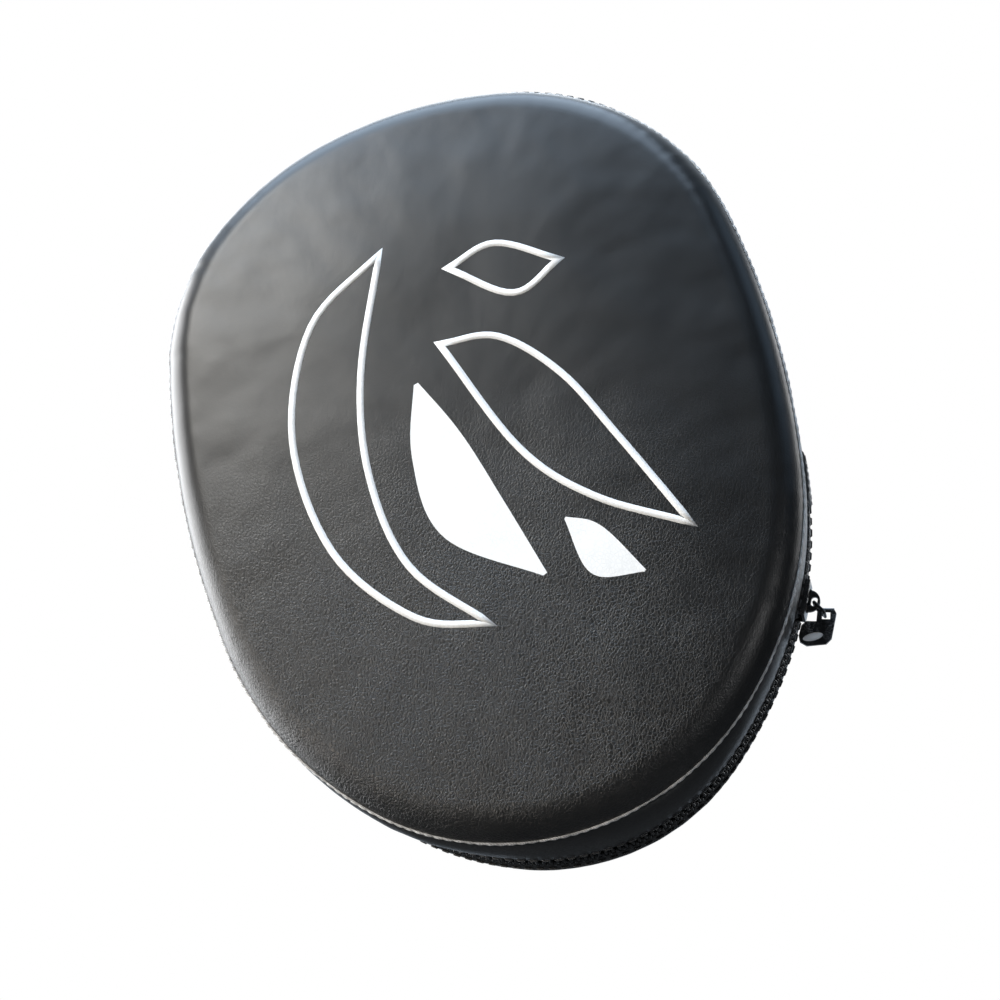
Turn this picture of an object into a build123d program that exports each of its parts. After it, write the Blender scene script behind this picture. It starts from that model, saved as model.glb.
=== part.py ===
from build123d import *
import math
import os

# Focus mitt for the left hand. Millimetres. +Z points to the fingertips, the strike face
# looks along -Y, and the origin is the centre of the flat part of the strike face.
#
# The mitt follows two outlines in the XZ plane: FACE at the front, and BELT along the zip.
# Angles on them are degrees clockwise from the top. Profiles are (offset, depth): offset
# grows outwards from the outline, depth towards the hand. Behind the strike face, depth is
# measured in the tilted REAR frame, from the zip's centre plane.

os.makedirs("parts", exist_ok=True)

# ---- shared dimensions ----
SEAM_Y = 7.0            # depth of the seam between the strike face and the side wall
BELT_Y = 22.0           # depth of the zip's centre line at mid-height
BELT_TILT = 3.43        # degrees: the zip sits deeper at the wrist end than at the fingertips
LEATHER = 1.4
WALL = 1.2
GAP = 0.1               # clearance between neighbouring pieces
FOAM_GAP = 0.2          # clearance between leather and foam
FACE_ROUND = 10.0       # radius of the strike face's rolled edge
FOAM_SPLIT_Y = 14.0     # depth where the strike foam ends and the core foam starts
REAR_FLAT = 17.0        # back panel's outer face
REAR_ROUND = 5.0
REAR_SEAM = 13.0        # back end of the rear gusset
ZIP_START = 98.7        # where the zip starts, on the right flank
ZIP_END = 441.4         # where it ends, after the wrist end, left flank and top
ZIP_EDGE = 4.7          # from the zip's centre line to the leather's edge
ZIP_LAP = 5.7           # to the end of the lap that covers the tape's stitched margin
PANEL = REAR_FLAT + GAP     # depth at which the hand-side pieces stand

# Half outlines as tangent arcs, from the fingertip end clockwise: radius and end angle.
FACE_TOP = 125.0
FACE_ARCS = ((129.12, 15.1), (79.49, 80.4), (279.09, 99.5), (121.06, 135.4))
BELT_TOP = 127.21
BELT_ARCS = ((131.57, 15.23), (77.59, 79.49), (282.0, 99.04), (126.78, 138.21))


# ---- outlines ----
def half_outline(top, arcs):
    """Arcs (centre x, centre z, radius, start, end) over 0..180; the last closes on the axis."""
    half, x, z, start = [], 0.0, top - arcs[0][0], 0.0
    for i, (radius, end) in enumerate(arcs):
        if i:
            turn = math.radians(start)
            step = arcs[i - 1][0] - radius
            x, z = x + math.sin(turn) * step, z + math.cos(turn) * step
        half.append((x, z, radius, start, end))
        start = end
    turn = math.radians(start)
    step = -x / math.sin(turn)
    half.append((0.0, z + math.cos(turn) * step, arcs[-1][0] - step, start, 180.0))
    return half


def full_outline(half):
    """The whole outline, with the end arcs joined across the symmetry axis."""
    arcs = [half[0][:3] + (-half[0][4], half[0][4])] + half[1:-1]
    arcs.append(half[-1][:3] + (half[-1][3], 360.0 - half[-1][3]))
    for x, z, radius, start, end in reversed(half[1:-1]):
        arcs.append((-x, z, radius, 360.0 - end, 360.0 - start))
    return arcs


FACE = full_outline(half_outline(FACE_TOP, FACE_ARCS))
BELT = full_outline(half_outline(BELT_TOP, BELT_ARCS))
REAR = Location((0, BELT_Y, 0), (BELT_TILT, 0, 0))      # frame of the zip and of the back


def outward(angle):
    turn = math.radians(angle)
    return Vector(math.sin(turn), 0, math.cos(turn))


def clockwise(angle):
    turn = math.radians(angle)
    return Vector(math.cos(turn), 0, -math.sin(turn))


def arc_point(arc, angle, offset, y=0.0):
    return Vector(arc[0], y, arc[1]) + outward(angle) * (arc[2] + offset)


def outline_wire(arcs, offset, y):
    edges = []
    for arc in arcs:
        start, end = arc[3:]
        points = [arc_point(arc, angle, offset, y) for angle in (start, (start + end) / 2, end)]
        edges.append(Edge.make_three_point_arc(*points))
    return Wire(edges)


# ---- solids from outlines and profiles ----
def slab(arcs, offset, y0, y1):
    return Solid.extrude(Face(outline_wire(arcs, offset, y0)), Vector(0, y1 - y0, 0))


def loop(first, *items):
    """A closed face in XY: points join with lines, and a pair (mid, end) adds an arc."""
    edges, last = [], first
    for item in items:
        if isinstance(item[0], tuple):
            mid, end = item
            edges.append(Edge.make_three_point_arc(Vector(*last, 0), Vector(*mid, 0),
                                                   Vector(*end, 0)))
            last = end
        else:
            edges.append(Edge.make_line(Vector(*last, 0), Vector(*item, 0)))
            last = item
    if math.dist(last, first) > 1e-6:
        edges.append(Edge.make_line(Vector(*last, 0), Vector(*first, 0)))
    return Face(Wire(edges))


def box_profile(offset0, offset1, depth0, depth1):
    return loop((offset0, depth0), (offset1, depth0), (offset1, depth1), (offset0, depth1))


def round_profile(offset, depth, radius):
    return Face(Wire([Edge.make_circle(radius, Plane((offset, depth, 0)))]))


def turned(arc, profile, start, end):
    plane = Plane(origin=arc_point(arc, start, 0), x_dir=outward(start), z_dir=-clockwise(start))
    axis = Axis((arc[0], 0, arc[1]), (0, 1, 0))
    return Solid.revolve(profile.moved(Location(plane)), end - start, axis)


def ring(arcs, profile, start=None, end=None):
    """The profile swept round the outline arc by arc, all the way or from start to end."""
    if start is None:
        spans = [(arc, arc[3], arc[4]) for arc in arcs]
    else:
        spans = []
        for turn in (0.0, 360.0):
            for arc in arcs:
                low, high = max(arc[3] + turn, start), min(arc[4] + turn, end)
                if high - low > 1e-6:
                    spans.append((arc, low - turn, high - turn))
    solids = [turned(arc, profile, low, high) for arc, low, high in spans]
    return solids[0].fuse(*solids[1:]) if len(solids) > 1 else solids[0]


def block(x0, x1, y0, y1, z0, z1):
    centre = ((x0 + x1) / 2, (y0 + y1) / 2, (z0 + z1) / 2)
    return Box(x1 - x0, y1 - y0, z1 - z0).moved(Location(centre))


def rod(start, end, radius):
    span = end - start
    return Solid.make_cylinder(radius, span.length, Plane(origin=start, z_dir=span))


def prism_z(face, z0, z1):
    return Solid.extrude(face.moved(Location((0, 0, z0))), Vector(0, 0, z1 - z0))


def save(name, shape, frame=None):
    """Move the shape into its frame and write it as one named STEP file."""
    if frame is not None:
        shape = shape.moved(frame)
    solids = shape.solids()
    body = solids[0] if len(solids) == 1 else Compound(children=list(solids))
    body.label = name
    export_step(body, f"parts/{name}.step")


# ---- front shell: strike face, foam, seam and side wall ----
FOAM_SIDE = -3.4                        # offset of the strike foam's straight side
ROLL_RISE = FACE_ROUND - SEAM_Y         # from the seam plane back to the roll's centre
ROLL_INSET = math.sqrt(FACE_ROUND ** 2 - ROLL_RISE ** 2)


def face_roll(radius):
    """Arc about the rolled edge's centre: its start on the flat, middle, end at the seam."""
    end = -ROLL_INSET + math.sqrt(radius * radius - ROLL_RISE ** 2)
    half = math.atan2(end + ROLL_INSET, ROLL_RISE) / 2
    middle = (-ROLL_INSET + radius * math.sin(half), FACE_ROUND - radius * math.cos(half))
    return (-ROLL_INSET, FACE_ROUND - radius), middle, (end, SEAM_Y)


def front_cover():
    flat, middle, end = face_roll(FACE_ROUND)
    in_flat, in_middle, in_end = face_roll(FACE_ROUND - LEATHER)
    rim = ring(FACE, loop(flat, (middle, end), in_end, (in_middle, in_flat)))
    return rim.fuse(slab(FACE, -ROLL_INSET, 0, LEATHER)).clean()


def strike_foam():
    flat, middle, end = face_roll(FACE_ROUND - LEATHER - FOAM_GAP)
    back = FOAM_SPLIT_Y - GAP
    rim = ring(FACE, loop(flat, (middle, end), (FOAM_SIDE, SEAM_Y), (FOAM_SIDE, back),
                          (-ROLL_INSET, back)))
    return rim.fuse(slab(FACE, -ROLL_INSET, LEATHER + FOAM_GAP, back)).clean()


def wall_loft(offset):
    front = outline_wire(FACE, offset, SEAM_Y + GAP)
    back = outline_wire(BELT, offset, -ZIP_LAP).moved(REAR)
    return Solid.make_loft([front, back], ruled=True)


def front_gusset():
    wall = wall_loft(0.0).cut(wall_loft(-WALL))
    lap = ring(BELT, box_profile(-WALL, 0.0, -ZIP_LAP, -ZIP_EDGE))
    return wall.fuse(lap.moved(REAR)).clean()


save("strike_foam", strike_foam())
save("front_seam_thread", ring(FACE, round_profile(0.45, SEAM_Y - 0.3, 0.4)))
save("front_gusset", front_gusset())

# ---- print: three swooshes drawn as outline bands, and two filled slivers ----
PRINT_LINE = 2.2                        # width of a swoosh's band
INK_FRONT, INK_BACK = 0.02, 0.12
CURVE_STEPS = 2                         # straight pieces per span of a curve
MITRE_FLOOR = 0.3                       # limits how far a sharp corner runs out

# Each shape is two curves that meet at both tips, as (x, z) points.
SWOOSHES = (
    # outer crescent
    (((-16, 70), (-42, 52), (-55, 16), (-50, -24), (-30, -52), (-8, -61)),
     ((-8, -61), (-28, -36), (-34, -4), (-30, 30), (-16, 70))),
    # long wing to the lower right
    (((-4, 33), (14, 30), (30, 12), (42, -14), (56, -47)),
     ((56, -47), (30, -30), (12, -8), (-4, 33))),
    # drop at the upper right
    (((4, 58), (20, 62), (38, 50)),
     ((38, 50), (22, 43), (4, 58))),
)
SLIVERS = (
    (((-14, 24), (-4, 2), (4, -24), (12, -52)),
     ((12, -52), (-16, -30), (-20, -2), (-14, 24))),
    (((20, -34), (30, -40), (40, -58)),
     ((40, -58), (24, -54), (20, -34))),
)


def beyond(end, inner):
    """The inner point mirrored through the end point."""
    return tuple(2 * e - i for e, i in zip(end, inner))


def smooth(points):
    """Points along a Catmull-Rom curve through the given ones."""
    knots = [beyond(points[0], points[1]), *points, beyond(points[-1], points[-2])]
    curve = []
    for p0, p1, p2, p3 in zip(knots, knots[1:], knots[2:], knots[3:]):
        for k in range(CURVE_STEPS):
            t = k / CURVE_STEPS
            curve.append(tuple(
                0.5 * (2 * b + (c - a) * t + (2 * a - 5 * b + 4 * c - d) * t * t
                       + (3 * b - a - 3 * c + d) * t ** 3)
                for a, b, c, d in zip(p0, p1, p2, p3)))
    curve.append(points[-1])
    return curve


def closed_path(curves):
    return [point for curve in curves for point in smooth(curve)[:-1]]


def right_normal(start, end):
    dx, dz = end[0] - start[0], end[1] - start[1]
    length = math.hypot(dx, dz)
    return dz / length, -dx / length


def shifted(path, distance):
    """The closed path moved along its right-hand normal, mitred at corners."""
    moved = []
    for i, point in enumerate(path):
        before = right_normal(path[i - 1], point)
        after = right_normal(point, path[(i + 1) % len(path)])
        mitre = max(MITRE_FLOOR, 1 + before[0] * after[0] + before[1] * after[1])
        moved.append(tuple(point[j] + (before[j] + after[j]) * distance / mitre
                           for j in (0, 1)))
    return moved


def ink_prism(path):
    points = [Vector(x, INK_FRONT, z) for x, z in path]
    edges = [Edge.make_line(points[i - 1], points[i]) for i in range(1, len(points))]
    edges.append(Edge.make_line(points[-1], points[0]))
    return Solid.extrude(Face(Wire(edges)), Vector(0, INK_BACK - INK_FRONT, 0))


def swoosh_band(curves):
    path = closed_path(curves)
    bounds = [ink_prism(shifted(path, side * PRINT_LINE / 2)) for side in (1, -1)]
    inner, outer = sorted(bounds, key=lambda solid: solid.volume)
    return outer.cut(inner)


def ink_bed(ink):
    """Recess for one ink shape, from the face of the cover to the back of the ink."""
    back_face = sorted(ink.faces(), key=lambda face: face.center().Y)[-1]
    return Solid.extrude(back_face, Vector(0, -INK_BACK, 0))


inks = [swoosh_band(curves) for curves in SWOOSHES]
inks += [ink_prism(closed_path(curves)) for curves in SLIVERS]
save("front_print", inks[0].fuse(*inks[1:]))
save("front_cover", front_cover().cut(*[ink_bed(ink) for ink in inks]))

# ---- zip: tapes, coils, stops, end tabs, and the wall that closes the ring ----
TAPE_OUT, TAPE_IN = -1.3, -1.9          # offsets of the tape's two faces
TAPE_NEAR, TAPE_FAR = 0.6, 5.6          # tape's edges, either side of the centre plane
COIL_START, COIL_END = 101.7, 437.0     # degrees
COIL_NEAR, COIL_FAR = 0.45, 3.0
COIL_ROOT = TAPE_OUT + 0.05
COIL_SHOULDER = -0.35
COIL_CREST = 0.8
STOP_TOP, STOP_HALF = 0.6, 3.1
TAB_IN, TAB_OUT, TAB_HALF = 0.15, 1.35, 6.6
HINGE_HALF = 4.6

# name, offset from and to, depth from and to, degrees from and to
ZIP_BOXES = (
    ("zipper_tape_front", TAPE_IN, TAPE_OUT, -TAPE_FAR, -TAPE_NEAR, ZIP_START + 0.2, ZIP_END - 0.2),
    ("zipper_tape_rear", TAPE_IN, TAPE_OUT, TAPE_NEAR, TAPE_FAR, ZIP_START + 0.2, ZIP_END - 0.2),
    ("zipper_stop_lower", COIL_ROOT, STOP_TOP, -STOP_HALF, STOP_HALF,
     COIL_START - 0.9, COIL_START - 0.1),
    ("zipper_stop_upper", COIL_ROOT, STOP_TOP, -STOP_HALF, STOP_HALF,
     COIL_END + 0.1, COIL_END + 1.2),
    ("zip_end_tab_lower", TAB_IN, TAB_OUT, -TAB_HALF, TAB_HALF, 97.6, COIL_START - 1.1),
    ("zip_end_tab_upper", TAB_IN, TAB_OUT, -TAB_HALF, TAB_HALF, COIL_END + 1.4, 441.9),
    ("hinge_wall", -WALL, 0.0, -HINGE_HALF, HINGE_HALF,
     ZIP_END - 360.0 + 0.05, ZIP_START - 0.05),
)


def coil(side):
    near, far = COIL_NEAR * side, COIL_FAR * side
    bead = loop((COIL_ROOT, near), (COIL_ROOT, far), (COIL_SHOULDER, far),
                ((COIL_CREST, (near + far) / 2), (COIL_SHOULDER, near)))
    return ring(BELT, bead, COIL_START, COIL_END)


for name, *bounds, start, end in ZIP_BOXES:
    save(name, ring(BELT, box_profile(*bounds), start, end), REAR)
save("zipper_coil_front", coil(-1), REAR)
save("zipper_coil_rear", coil(1), REAR)

# ---- rear shell: gusset, cover and seam ----
GUSSET_STEP = 1.5                       # how far the gusset leans in by its back end
EDGE_OFFSET = -6.2                      # centre of the cover's rounded edge
EDGE_DEPTH = REAR_FLAT - REAR_ROUND
EDGE_RISE = REAR_SEAM + GAP - EDGE_DEPTH


def rear_gusset():
    return ring(BELT, loop((0, ZIP_EDGE), (-WALL, ZIP_EDGE), (-WALL, ZIP_LAP),
                           (-WALL - GUSSET_STEP, REAR_SEAM), (-GUSSET_STEP, REAR_SEAM),
                           (0, ZIP_LAP)))


def rear_roll(radius):
    """Arc about the rounded edge's centre: its start at the seam, middle, end on the flat."""
    reach = math.sqrt(radius * radius - EDGE_RISE ** 2)
    half = math.atan2(reach, EDGE_RISE) / 2
    middle = (EDGE_OFFSET + radius * math.sin(half), EDGE_DEPTH + radius * math.cos(half))
    return (EDGE_OFFSET + reach, EDGE_DEPTH + EDGE_RISE), middle, (EDGE_OFFSET, EDGE_DEPTH + radius)


def rear_cover():
    seam, middle, flat = rear_roll(REAR_ROUND)
    in_seam, in_middle, in_flat = rear_roll(REAR_ROUND - LEATHER)
    rim = ring(BELT, loop(seam, (middle, flat), in_flat, (in_middle, in_seam)))
    return rim.fuse(slab(BELT, EDGE_OFFSET, REAR_FLAT - LEATHER, REAR_FLAT)).clean()


save("rear_gusset", rear_gusset(), REAR)
save("rear_cover", rear_cover(), REAR)
save("rear_seam_thread", ring(BELT, round_profile(-0.9, REAR_SEAM + GAP / 2, 0.35)), REAR)

# ---- padding inside ----
CORE_BACK = 6.0                         # depth in the rear frame
BOARD_THICK = 3.0
board_front = CORE_BACK + GAP
board_back = board_front + BOARD_THICK


def core_foam():
    """Slab on the face's outline, cut off square to the tilted rear frame."""
    behind = block(-200, 200, CORE_BACK, 120.0, -200, 200).moved(REAR)
    return slab(FACE, -4.2, FOAM_SPLIT_Y, 60.0).cut(behind)


save("core_foam", core_foam())
save("backing_board", slab(BELT, -5.0, board_front, board_back), REAR)
save("palm_foam", slab(BELT, -6.0, board_back + GAP, REAR_FLAT - LEATHER - FOAM_GAP), REAR)

# ---- slider: channel over both coils, post, crown with an eye ----
SLIDER_AT = 115.6                       # slider's place on the right flank arc, degrees
SLIDER_HALF = 2.45                      # half of its length, degrees on that arc
EYE_OFFSET = 3.6                        # height of the eye above the wall
EYE_R = 0.95
EYE_SHIFTS = (-0.6, 0.55)               # places along the zip that lengthen the eye
CROWN_WIDTH = 1.5

OUT = outward(SLIDER_AT)                # away from the wall
ALONG = clockwise(SLIDER_AT)            # along the zip, towards the wrist
EYE = arc_point(BELT[3], SLIDER_AT, EYE_OFFSET)

# offset from and to, depth from and to
SLIDER_PLATES = (
    (0.95, 1.85, -4.4, 4.4),            # top
    (-0.95, 1.0, -4.4, -3.3),           # front flange
    (-0.95, 1.0, 3.3, 4.4),             # rear flange
    (-2.95, -2.1, -4.3, 4.3),           # base
)


def across_zip(face, plane, width):
    """The face laid in the plane and thickened evenly about the zip's centre plane."""
    solid = Solid.extrude(face.moved(Location(plane)), Vector(0, width, 0))
    return solid.moved(Location((0, -width / 2, 0)))


def zipper_slider():
    top, *plates = [ring(BELT, box_profile(*bounds), SLIDER_AT - SLIDER_HALF,
                         SLIDER_AT + SLIDER_HALF) for bounds in SLIDER_PLATES]
    post = ring(BELT, box_profile(-2.2, 1.0, -0.3, 0.3), SLIDER_AT - 1.6, SLIDER_AT - 0.2)
    # local x runs along the zip, local y away from the wall
    crown_plane = Plane(origin=EYE, x_dir=ALONG, z_dir=(0, -1, 0))
    outline = loop((-3.7, -2.0), (3.7, -2.0), (3.3, -1.2), ((0, 1.75), (-3.3, -1.2)))
    crown = across_zip(outline, crown_plane, CROWN_WIDTH)
    eye = Solid.make_cylinder(EYE_R, 6, Plane(origin=(EYE.X, -3, EYE.Z), z_dir=(0, 1, 0)))
    eye = eye.fuse(*[eye.moved(Location(ALONG * shift)) for shift in EYE_SHIFTS])
    return top.fuse(*plates, post, crown).cut(eye)


save("zipper_slider", zipper_slider(), REAR)

# ---- pull: a wire link through the eye, and a tab hanging on the link ----
LINK_WIRE_R = 0.5
LINK_LEN = 4.2                          # between the centres of the link's two cross bars
LINK_HALF = 2.6                         # half the distance between its side wires
LINK_LEAN = 55.0                        # degrees the link stands out from the wall
PULL_LEAN = 8.0                         # degrees the tab's axis leans out from the wall
PULL_THICK = 1.3
TOP_BAR_R = 0.65
TOP_BAR_AT = -1.64                      # along the tab; the bar lies inside the link
INSET_TILT = 16.0                       # degrees the inset's long axis leans in the tab
INSET_RX, INSET_RY, INSET_THICK = 3.0, 1.2, 0.9
INSET_GAP = 0.05

# (across, along) points in the tab's plane
TAB_OUTLINE = (
    (0.95, TOP_BAR_AT), (6.0, TOP_BAR_AT), (6.55, -0.6), (5.4, 7.1), (3.9, 8.75), (-1.9, 9.5),
    (-3.9, 8.4), (-4.3, 6.6), (-3.6, 3.3), (-2.2, 2.0), (0.75, 2.0),
)
TAB_SLOT = ((2.3, -2.4), (4.8, -2.4), (4.8, 1.3), (2.3, 1.3))

lean = math.radians(PULL_LEAN)
TAB_ALONG = ALONG * math.cos(lean) + OUT * math.sin(lean)
TAB_ACROSS = OUT * math.cos(lean) - ALONG * math.sin(lean)
LINK_BAR = EYE + ALONG * 0.75 + OUT * 0.2       # link's cross bar inside the eye
TAB_ORIGIN = LINK_BAR + TAB_ALONG * 3.3


def zipper_pull_link():
    angle = math.radians(LINK_LEAN)
    down = (ALONG * math.cos(angle) + OUT * math.sin(angle)) * LINK_LEN
    side = Vector(0, LINK_HALF, 0)
    corners = [LINK_BAR - side, LINK_BAR + side, LINK_BAR + side + down, LINK_BAR - side + down]
    wires = [rod(corners[i], corners[(i + 1) % 4], LINK_WIRE_R) for i in range(4)]
    knuckles = [Solid.make_sphere(LINK_WIRE_R, Plane(origin=corner)) for corner in corners]
    return wires[0].fuse(*wires[1:], *knuckles)


def inset_prism(gap, thick):
    tilt = math.radians(INSET_TILT)
    plane = Plane(origin=TAB_ORIGIN + TAB_ALONG * 6.75 + TAB_ACROSS * -0.1,
                  x_dir=TAB_ACROSS * math.cos(tilt) - TAB_ALONG * math.sin(tilt),
                  z_dir=(0, 1, 0))
    ellipse = Face(Wire([Edge.make_ellipse(INSET_RX + gap, INSET_RY + gap)]))
    return across_zip(ellipse, plane, thick)


def zipper_pull_tab():
    plane = Plane(origin=TAB_ORIGIN, x_dir=TAB_ACROSS, z_dir=(0, 1, 0))
    plate = across_zip(loop(*TAB_OUTLINE), plane, PULL_THICK)
    slot = across_zip(loop(*TAB_SLOT), plane, 6)
    bar_line = TAB_ORIGIN + TAB_ALONG * TOP_BAR_AT
    bar = rod(bar_line + TAB_ACROSS * 1.6, bar_line + TAB_ACROSS * 5.9, TOP_BAR_R)
    return plate.cut(slot).fuse(bar).cut(inset_prism(INSET_GAP, 6))


save("zipper_pull_link", zipper_pull_link(), REAR)
save("zipper_pull_tab", zipper_pull_tab(), REAR)
save("pull_tab_inset", inset_prism(0, INSET_THICK), REAR)

# ---- pads: palm pad and ball, wrist pad, strap anchors ----
PAD_TOP = 24.0
BALL_HEIGHT, BALL_BASE_R = 12.0, 24.0
BALL_X, BALL_Z = 2, -20
STRAP_Z0, STRAP_Z1 = -92.0, -58.0


def plinth(x0, x1, top, z0, z1, corner):
    """A block standing on the back panel, its four upright edges rounded."""
    solid = block(x0, x1, PANEL, top, z0, z1)
    return fillet([e for e in solid.edges() if abs(e.tangent_at(0.5).Y) > 0.9], corner)


def pad(x0, x1, top, z0, z1, corner, rim):
    solid = plinth(x0, x1, top, z0, z1, corner)
    return fillet(solid.faces().sort_by(Axis.Y)[-1].edges(), rim)


def palm_ball():
    """Cap of a sphere, standing on the palm pad."""
    base = PAD_TOP + GAP
    radius = (BALL_BASE_R ** 2 + BALL_HEIGHT ** 2) / (2 * BALL_HEIGHT)
    centre = Plane((BALL_X, base + BALL_HEIGHT - radius, BALL_Z))
    sphere = Solid.make_sphere(radius, centre, angle1=-90, angle2=90)
    return sphere.cut(block(-80, 80, -80, base, -80, 80))


save("palm_pad", pad(-33, 40, PAD_TOP, -52, 6, corner=16, rim=3.0), REAR)
save("palm_ball", palm_ball(), REAR)
save("wrist_pad", pad(-28, 28, 22.0, -90, -59, corner=9, rim=2.0), REAR)
save("strap_anchor", plinth(41, 60, 18.9, STRAP_Z0, STRAP_Z1, corner=2.0), REAR)
save("keeper_anchor", plinth(-60, -40, 19.2, STRAP_Z0, STRAP_Z1, corner=2.0), REAR)

# ---- finger hood and thumb sleeve, each with a binding round its mouth ----
SLEEVE_WALL = 1.5
OVERCUT = 5.0                           # how far the hollows run past the open sides
BINDING_OUT, BINDING_IN = 0.9, 2.4      # binding beyond and inside the sleeve's outer radius
BINDING_LEN = 4.0
HOOD_X, HOOD_DEPTH, HOOD_R = 2.0, -1.6, 49.6    # axis and radius of the hood's arch
HOOD_Z0, HOOD_Z1, HOOD_DOME = 14.0, 100.0, 18.0
THUMB_R, THUMB_LEGS = 17.0, 25.0        # radius, and depth where the straight legs end
THUMB_LEN, THUMB_DOME = 38, 10.0
THUMB_FRAME = REAR * Location((-54, 0, -36), (0, -25, 0))   # points up and out to -X
EYELET_ANGLE, EYELET_ROWS = 9.0, (70.0, 54.0)


def hood_section(radius, floor):
    half = math.sqrt(radius * radius - (floor - HOOD_DEPTH) ** 2)
    return loop((HOOD_X - half, floor), (HOOD_X + half, floor),
                ((HOOD_X, HOOD_DEPTH + radius), (HOOD_X - half, floor)))


def thumb_section(radius, floor):
    return loop((-radius, floor), (radius, floor), (radius, THUMB_LEGS),
                ((0, THUMB_LEGS + radius), (-radius, THUMB_LEGS)))


def domed(section, radius, floor, z0, z1, dome):
    """Prism of the section, rounded at its z1 end except along the floor."""
    solid = prism_z(section(radius, floor), z0, z1)
    end_edges = solid.faces().sort_by(Axis.Z)[-1].edges()
    return fillet([e for e in end_edges if e.center().Y > floor + 0.01], dome)


def sleeve(section, radius, z0, z1, dome):
    """Domed shell, open at its z0 end and towards the back panel."""
    skin = domed(section, radius, PANEL, z0, z1, dome)
    hollow = domed(section, radius - SLEEVE_WALL, PANEL - OVERCUT, z0 - OVERCUT,
                   z1 - SLEEVE_WALL, dome - SLEEVE_WALL)
    return skin.cut(hollow)


def binding(section, radius, mouth):
    end = mouth - GAP
    outer = prism_z(section(radius + BINDING_OUT, PANEL), end - BINDING_LEN, end)
    return outer.cut(prism_z(section(radius - BINDING_IN, PANEL - OVERCUT), mouth - 9, mouth + 5))


def eyelet_cylinder(spot, radius, height, start):
    """Cylinder pointing out of the hood; start is measured from the hood's outer radius."""
    angle, z = spot
    turn = math.radians(angle)
    out = Vector(math.sin(turn), math.cos(turn), 0)
    origin = Vector(HOOD_X, HOOD_DEPTH, z) + out * (HOOD_R + start)
    return Solid.make_cylinder(radius, height, Plane(origin=origin, z_dir=out))


def eyelet(spot):
    barrel = eyelet_cylinder(spot, 2.54, 2.0, -1.7)
    flange = eyelet_cylinder(spot, 3.8, 0.5, 0.02)
    return barrel.fuse(flange).cut(eyelet_cylinder(spot, 1.9, 8, -4))


eyelet_spots = [(side * EYELET_ANGLE, z) for z in EYELET_ROWS for side in (-1, 1)]
hood = sleeve(hood_section, HOOD_R, HOOD_Z0, HOOD_Z1, HOOD_DOME)
for spot in eyelet_spots:
    hood = hood.cut(eyelet_cylinder(spot, 2.6, 6, -4))
save("finger_hood", hood, REAR)
save("hood_eyelets", Compound(children=[eyelet(spot) for spot in eyelet_spots]), REAR)
save("hood_binding", binding(hood_section, HOOD_R, HOOD_Z0), REAR)
save("thumb_sleeve", sleeve(thumb_section, THUMB_R, 0, THUMB_LEN, THUMB_DOME), THUMB_FRAME)
save("thumb_binding", binding(thumb_section, THUMB_R, 0), THUMB_FRAME)

# ---- wrist strap with a folding tail, its patches, keeper and grip ----
# Angles run from the top of the strap's arch towards +X.
STRAP_R = 52.7                          # mid-thickness radius of the arch
STRAP_DEPTH = 3.3                       # arch centre
STRAP_HALF = 1.1                        # half of the strap's thickness
STRAP_ROOT = 71.4                       # the strap's sewn root
TAIL_AT = -17.2                         # the fold where the tail starts
TAIL_END = -66.0
UNDER, OVER = STRAP_R - STRAP_HALF, STRAP_R + STRAP_HALF    # radii of the strap's faces

# name, radius from and to, degrees from and to, inset at each edge of the strap's width
STRAP_LAYERS = (
    ("hook_patch", UNDER - 1.0, UNDER - 0.05, -58.0, -22.0, 2),
    ("loop_patch", UNDER - 2.05, UNDER - 1.1, -62.0, -20.0, 1.5),
    ("strap_keeper", UNDER - 4.3, UNDER - 2.1, -70.0, -18.5, 0),
    ("tail_grip", OVER + 0.05, OVER + 1.5, -67.5, -57.0, 6),
)


def strap_point(radius, angle):
    turn = math.radians(angle)
    return radius * math.sin(turn), STRAP_DEPTH + radius * math.cos(turn)


def band(inner, outer, start, end, inset=0):
    """A stretch of the strap's arch between two radii."""
    middle = (start + end) / 2
    face = loop(strap_point(outer, start),
                (strap_point(outer, middle), strap_point(outer, end)),
                strap_point(inner, end),
                (strap_point(inner, middle), strap_point(inner, start)))
    return prism_z(face, STRAP_Z0 + inset, STRAP_Z1 - inset)


def strap_rod(angle, radius, overrun=0):
    """Rod across the strap's width, centred in its thickness."""
    origin = (*strap_point(STRAP_R, angle), STRAP_Z0 - overrun)
    return Solid.make_cylinder(radius, STRAP_Z1 - STRAP_Z0 + 2 * overrun, Plane(origin=origin))


def wrist_strap():
    strap = band(UNDER, OVER, TAIL_AT + 0.2, STRAP_ROOT).fuse(strap_rod(STRAP_ROOT, STRAP_HALF))
    return strap.cut(strap_rod(TAIL_AT, STRAP_HALF + GAP, overrun=2))


def strap_tail():
    return band(UNDER, OVER, TAIL_END, TAIL_AT).fuse(strap_rod(TAIL_AT, STRAP_HALF))


save("wrist_strap", wrist_strap(), REAR)
save("strap_tail", strap_tail(), REAR)
for name, *extent in STRAP_LAYERS:
    save(name, band(*extent), REAR)
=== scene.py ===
# A leather striking mitt worn on the hand: a padded strike face, a side wall with a zip round it,
# and a rear panel that carries a finger hood, thumb sleeve, two pads, palm ball and wrist strap.
# The strike face looks to -y, the hand side to +y, and the fingertip end to +z.
# Sizes are millimetres unless noted; outline angles are degrees from +z towards +x.
# The rear frame (x, v, z) starts in the zip's plane and is tilted about x; v is its depth,
# growing towards the hand.
import math

import bpy
import bmesh
import numpy as np
from mathutils import Matrix, Vector, noise


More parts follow.
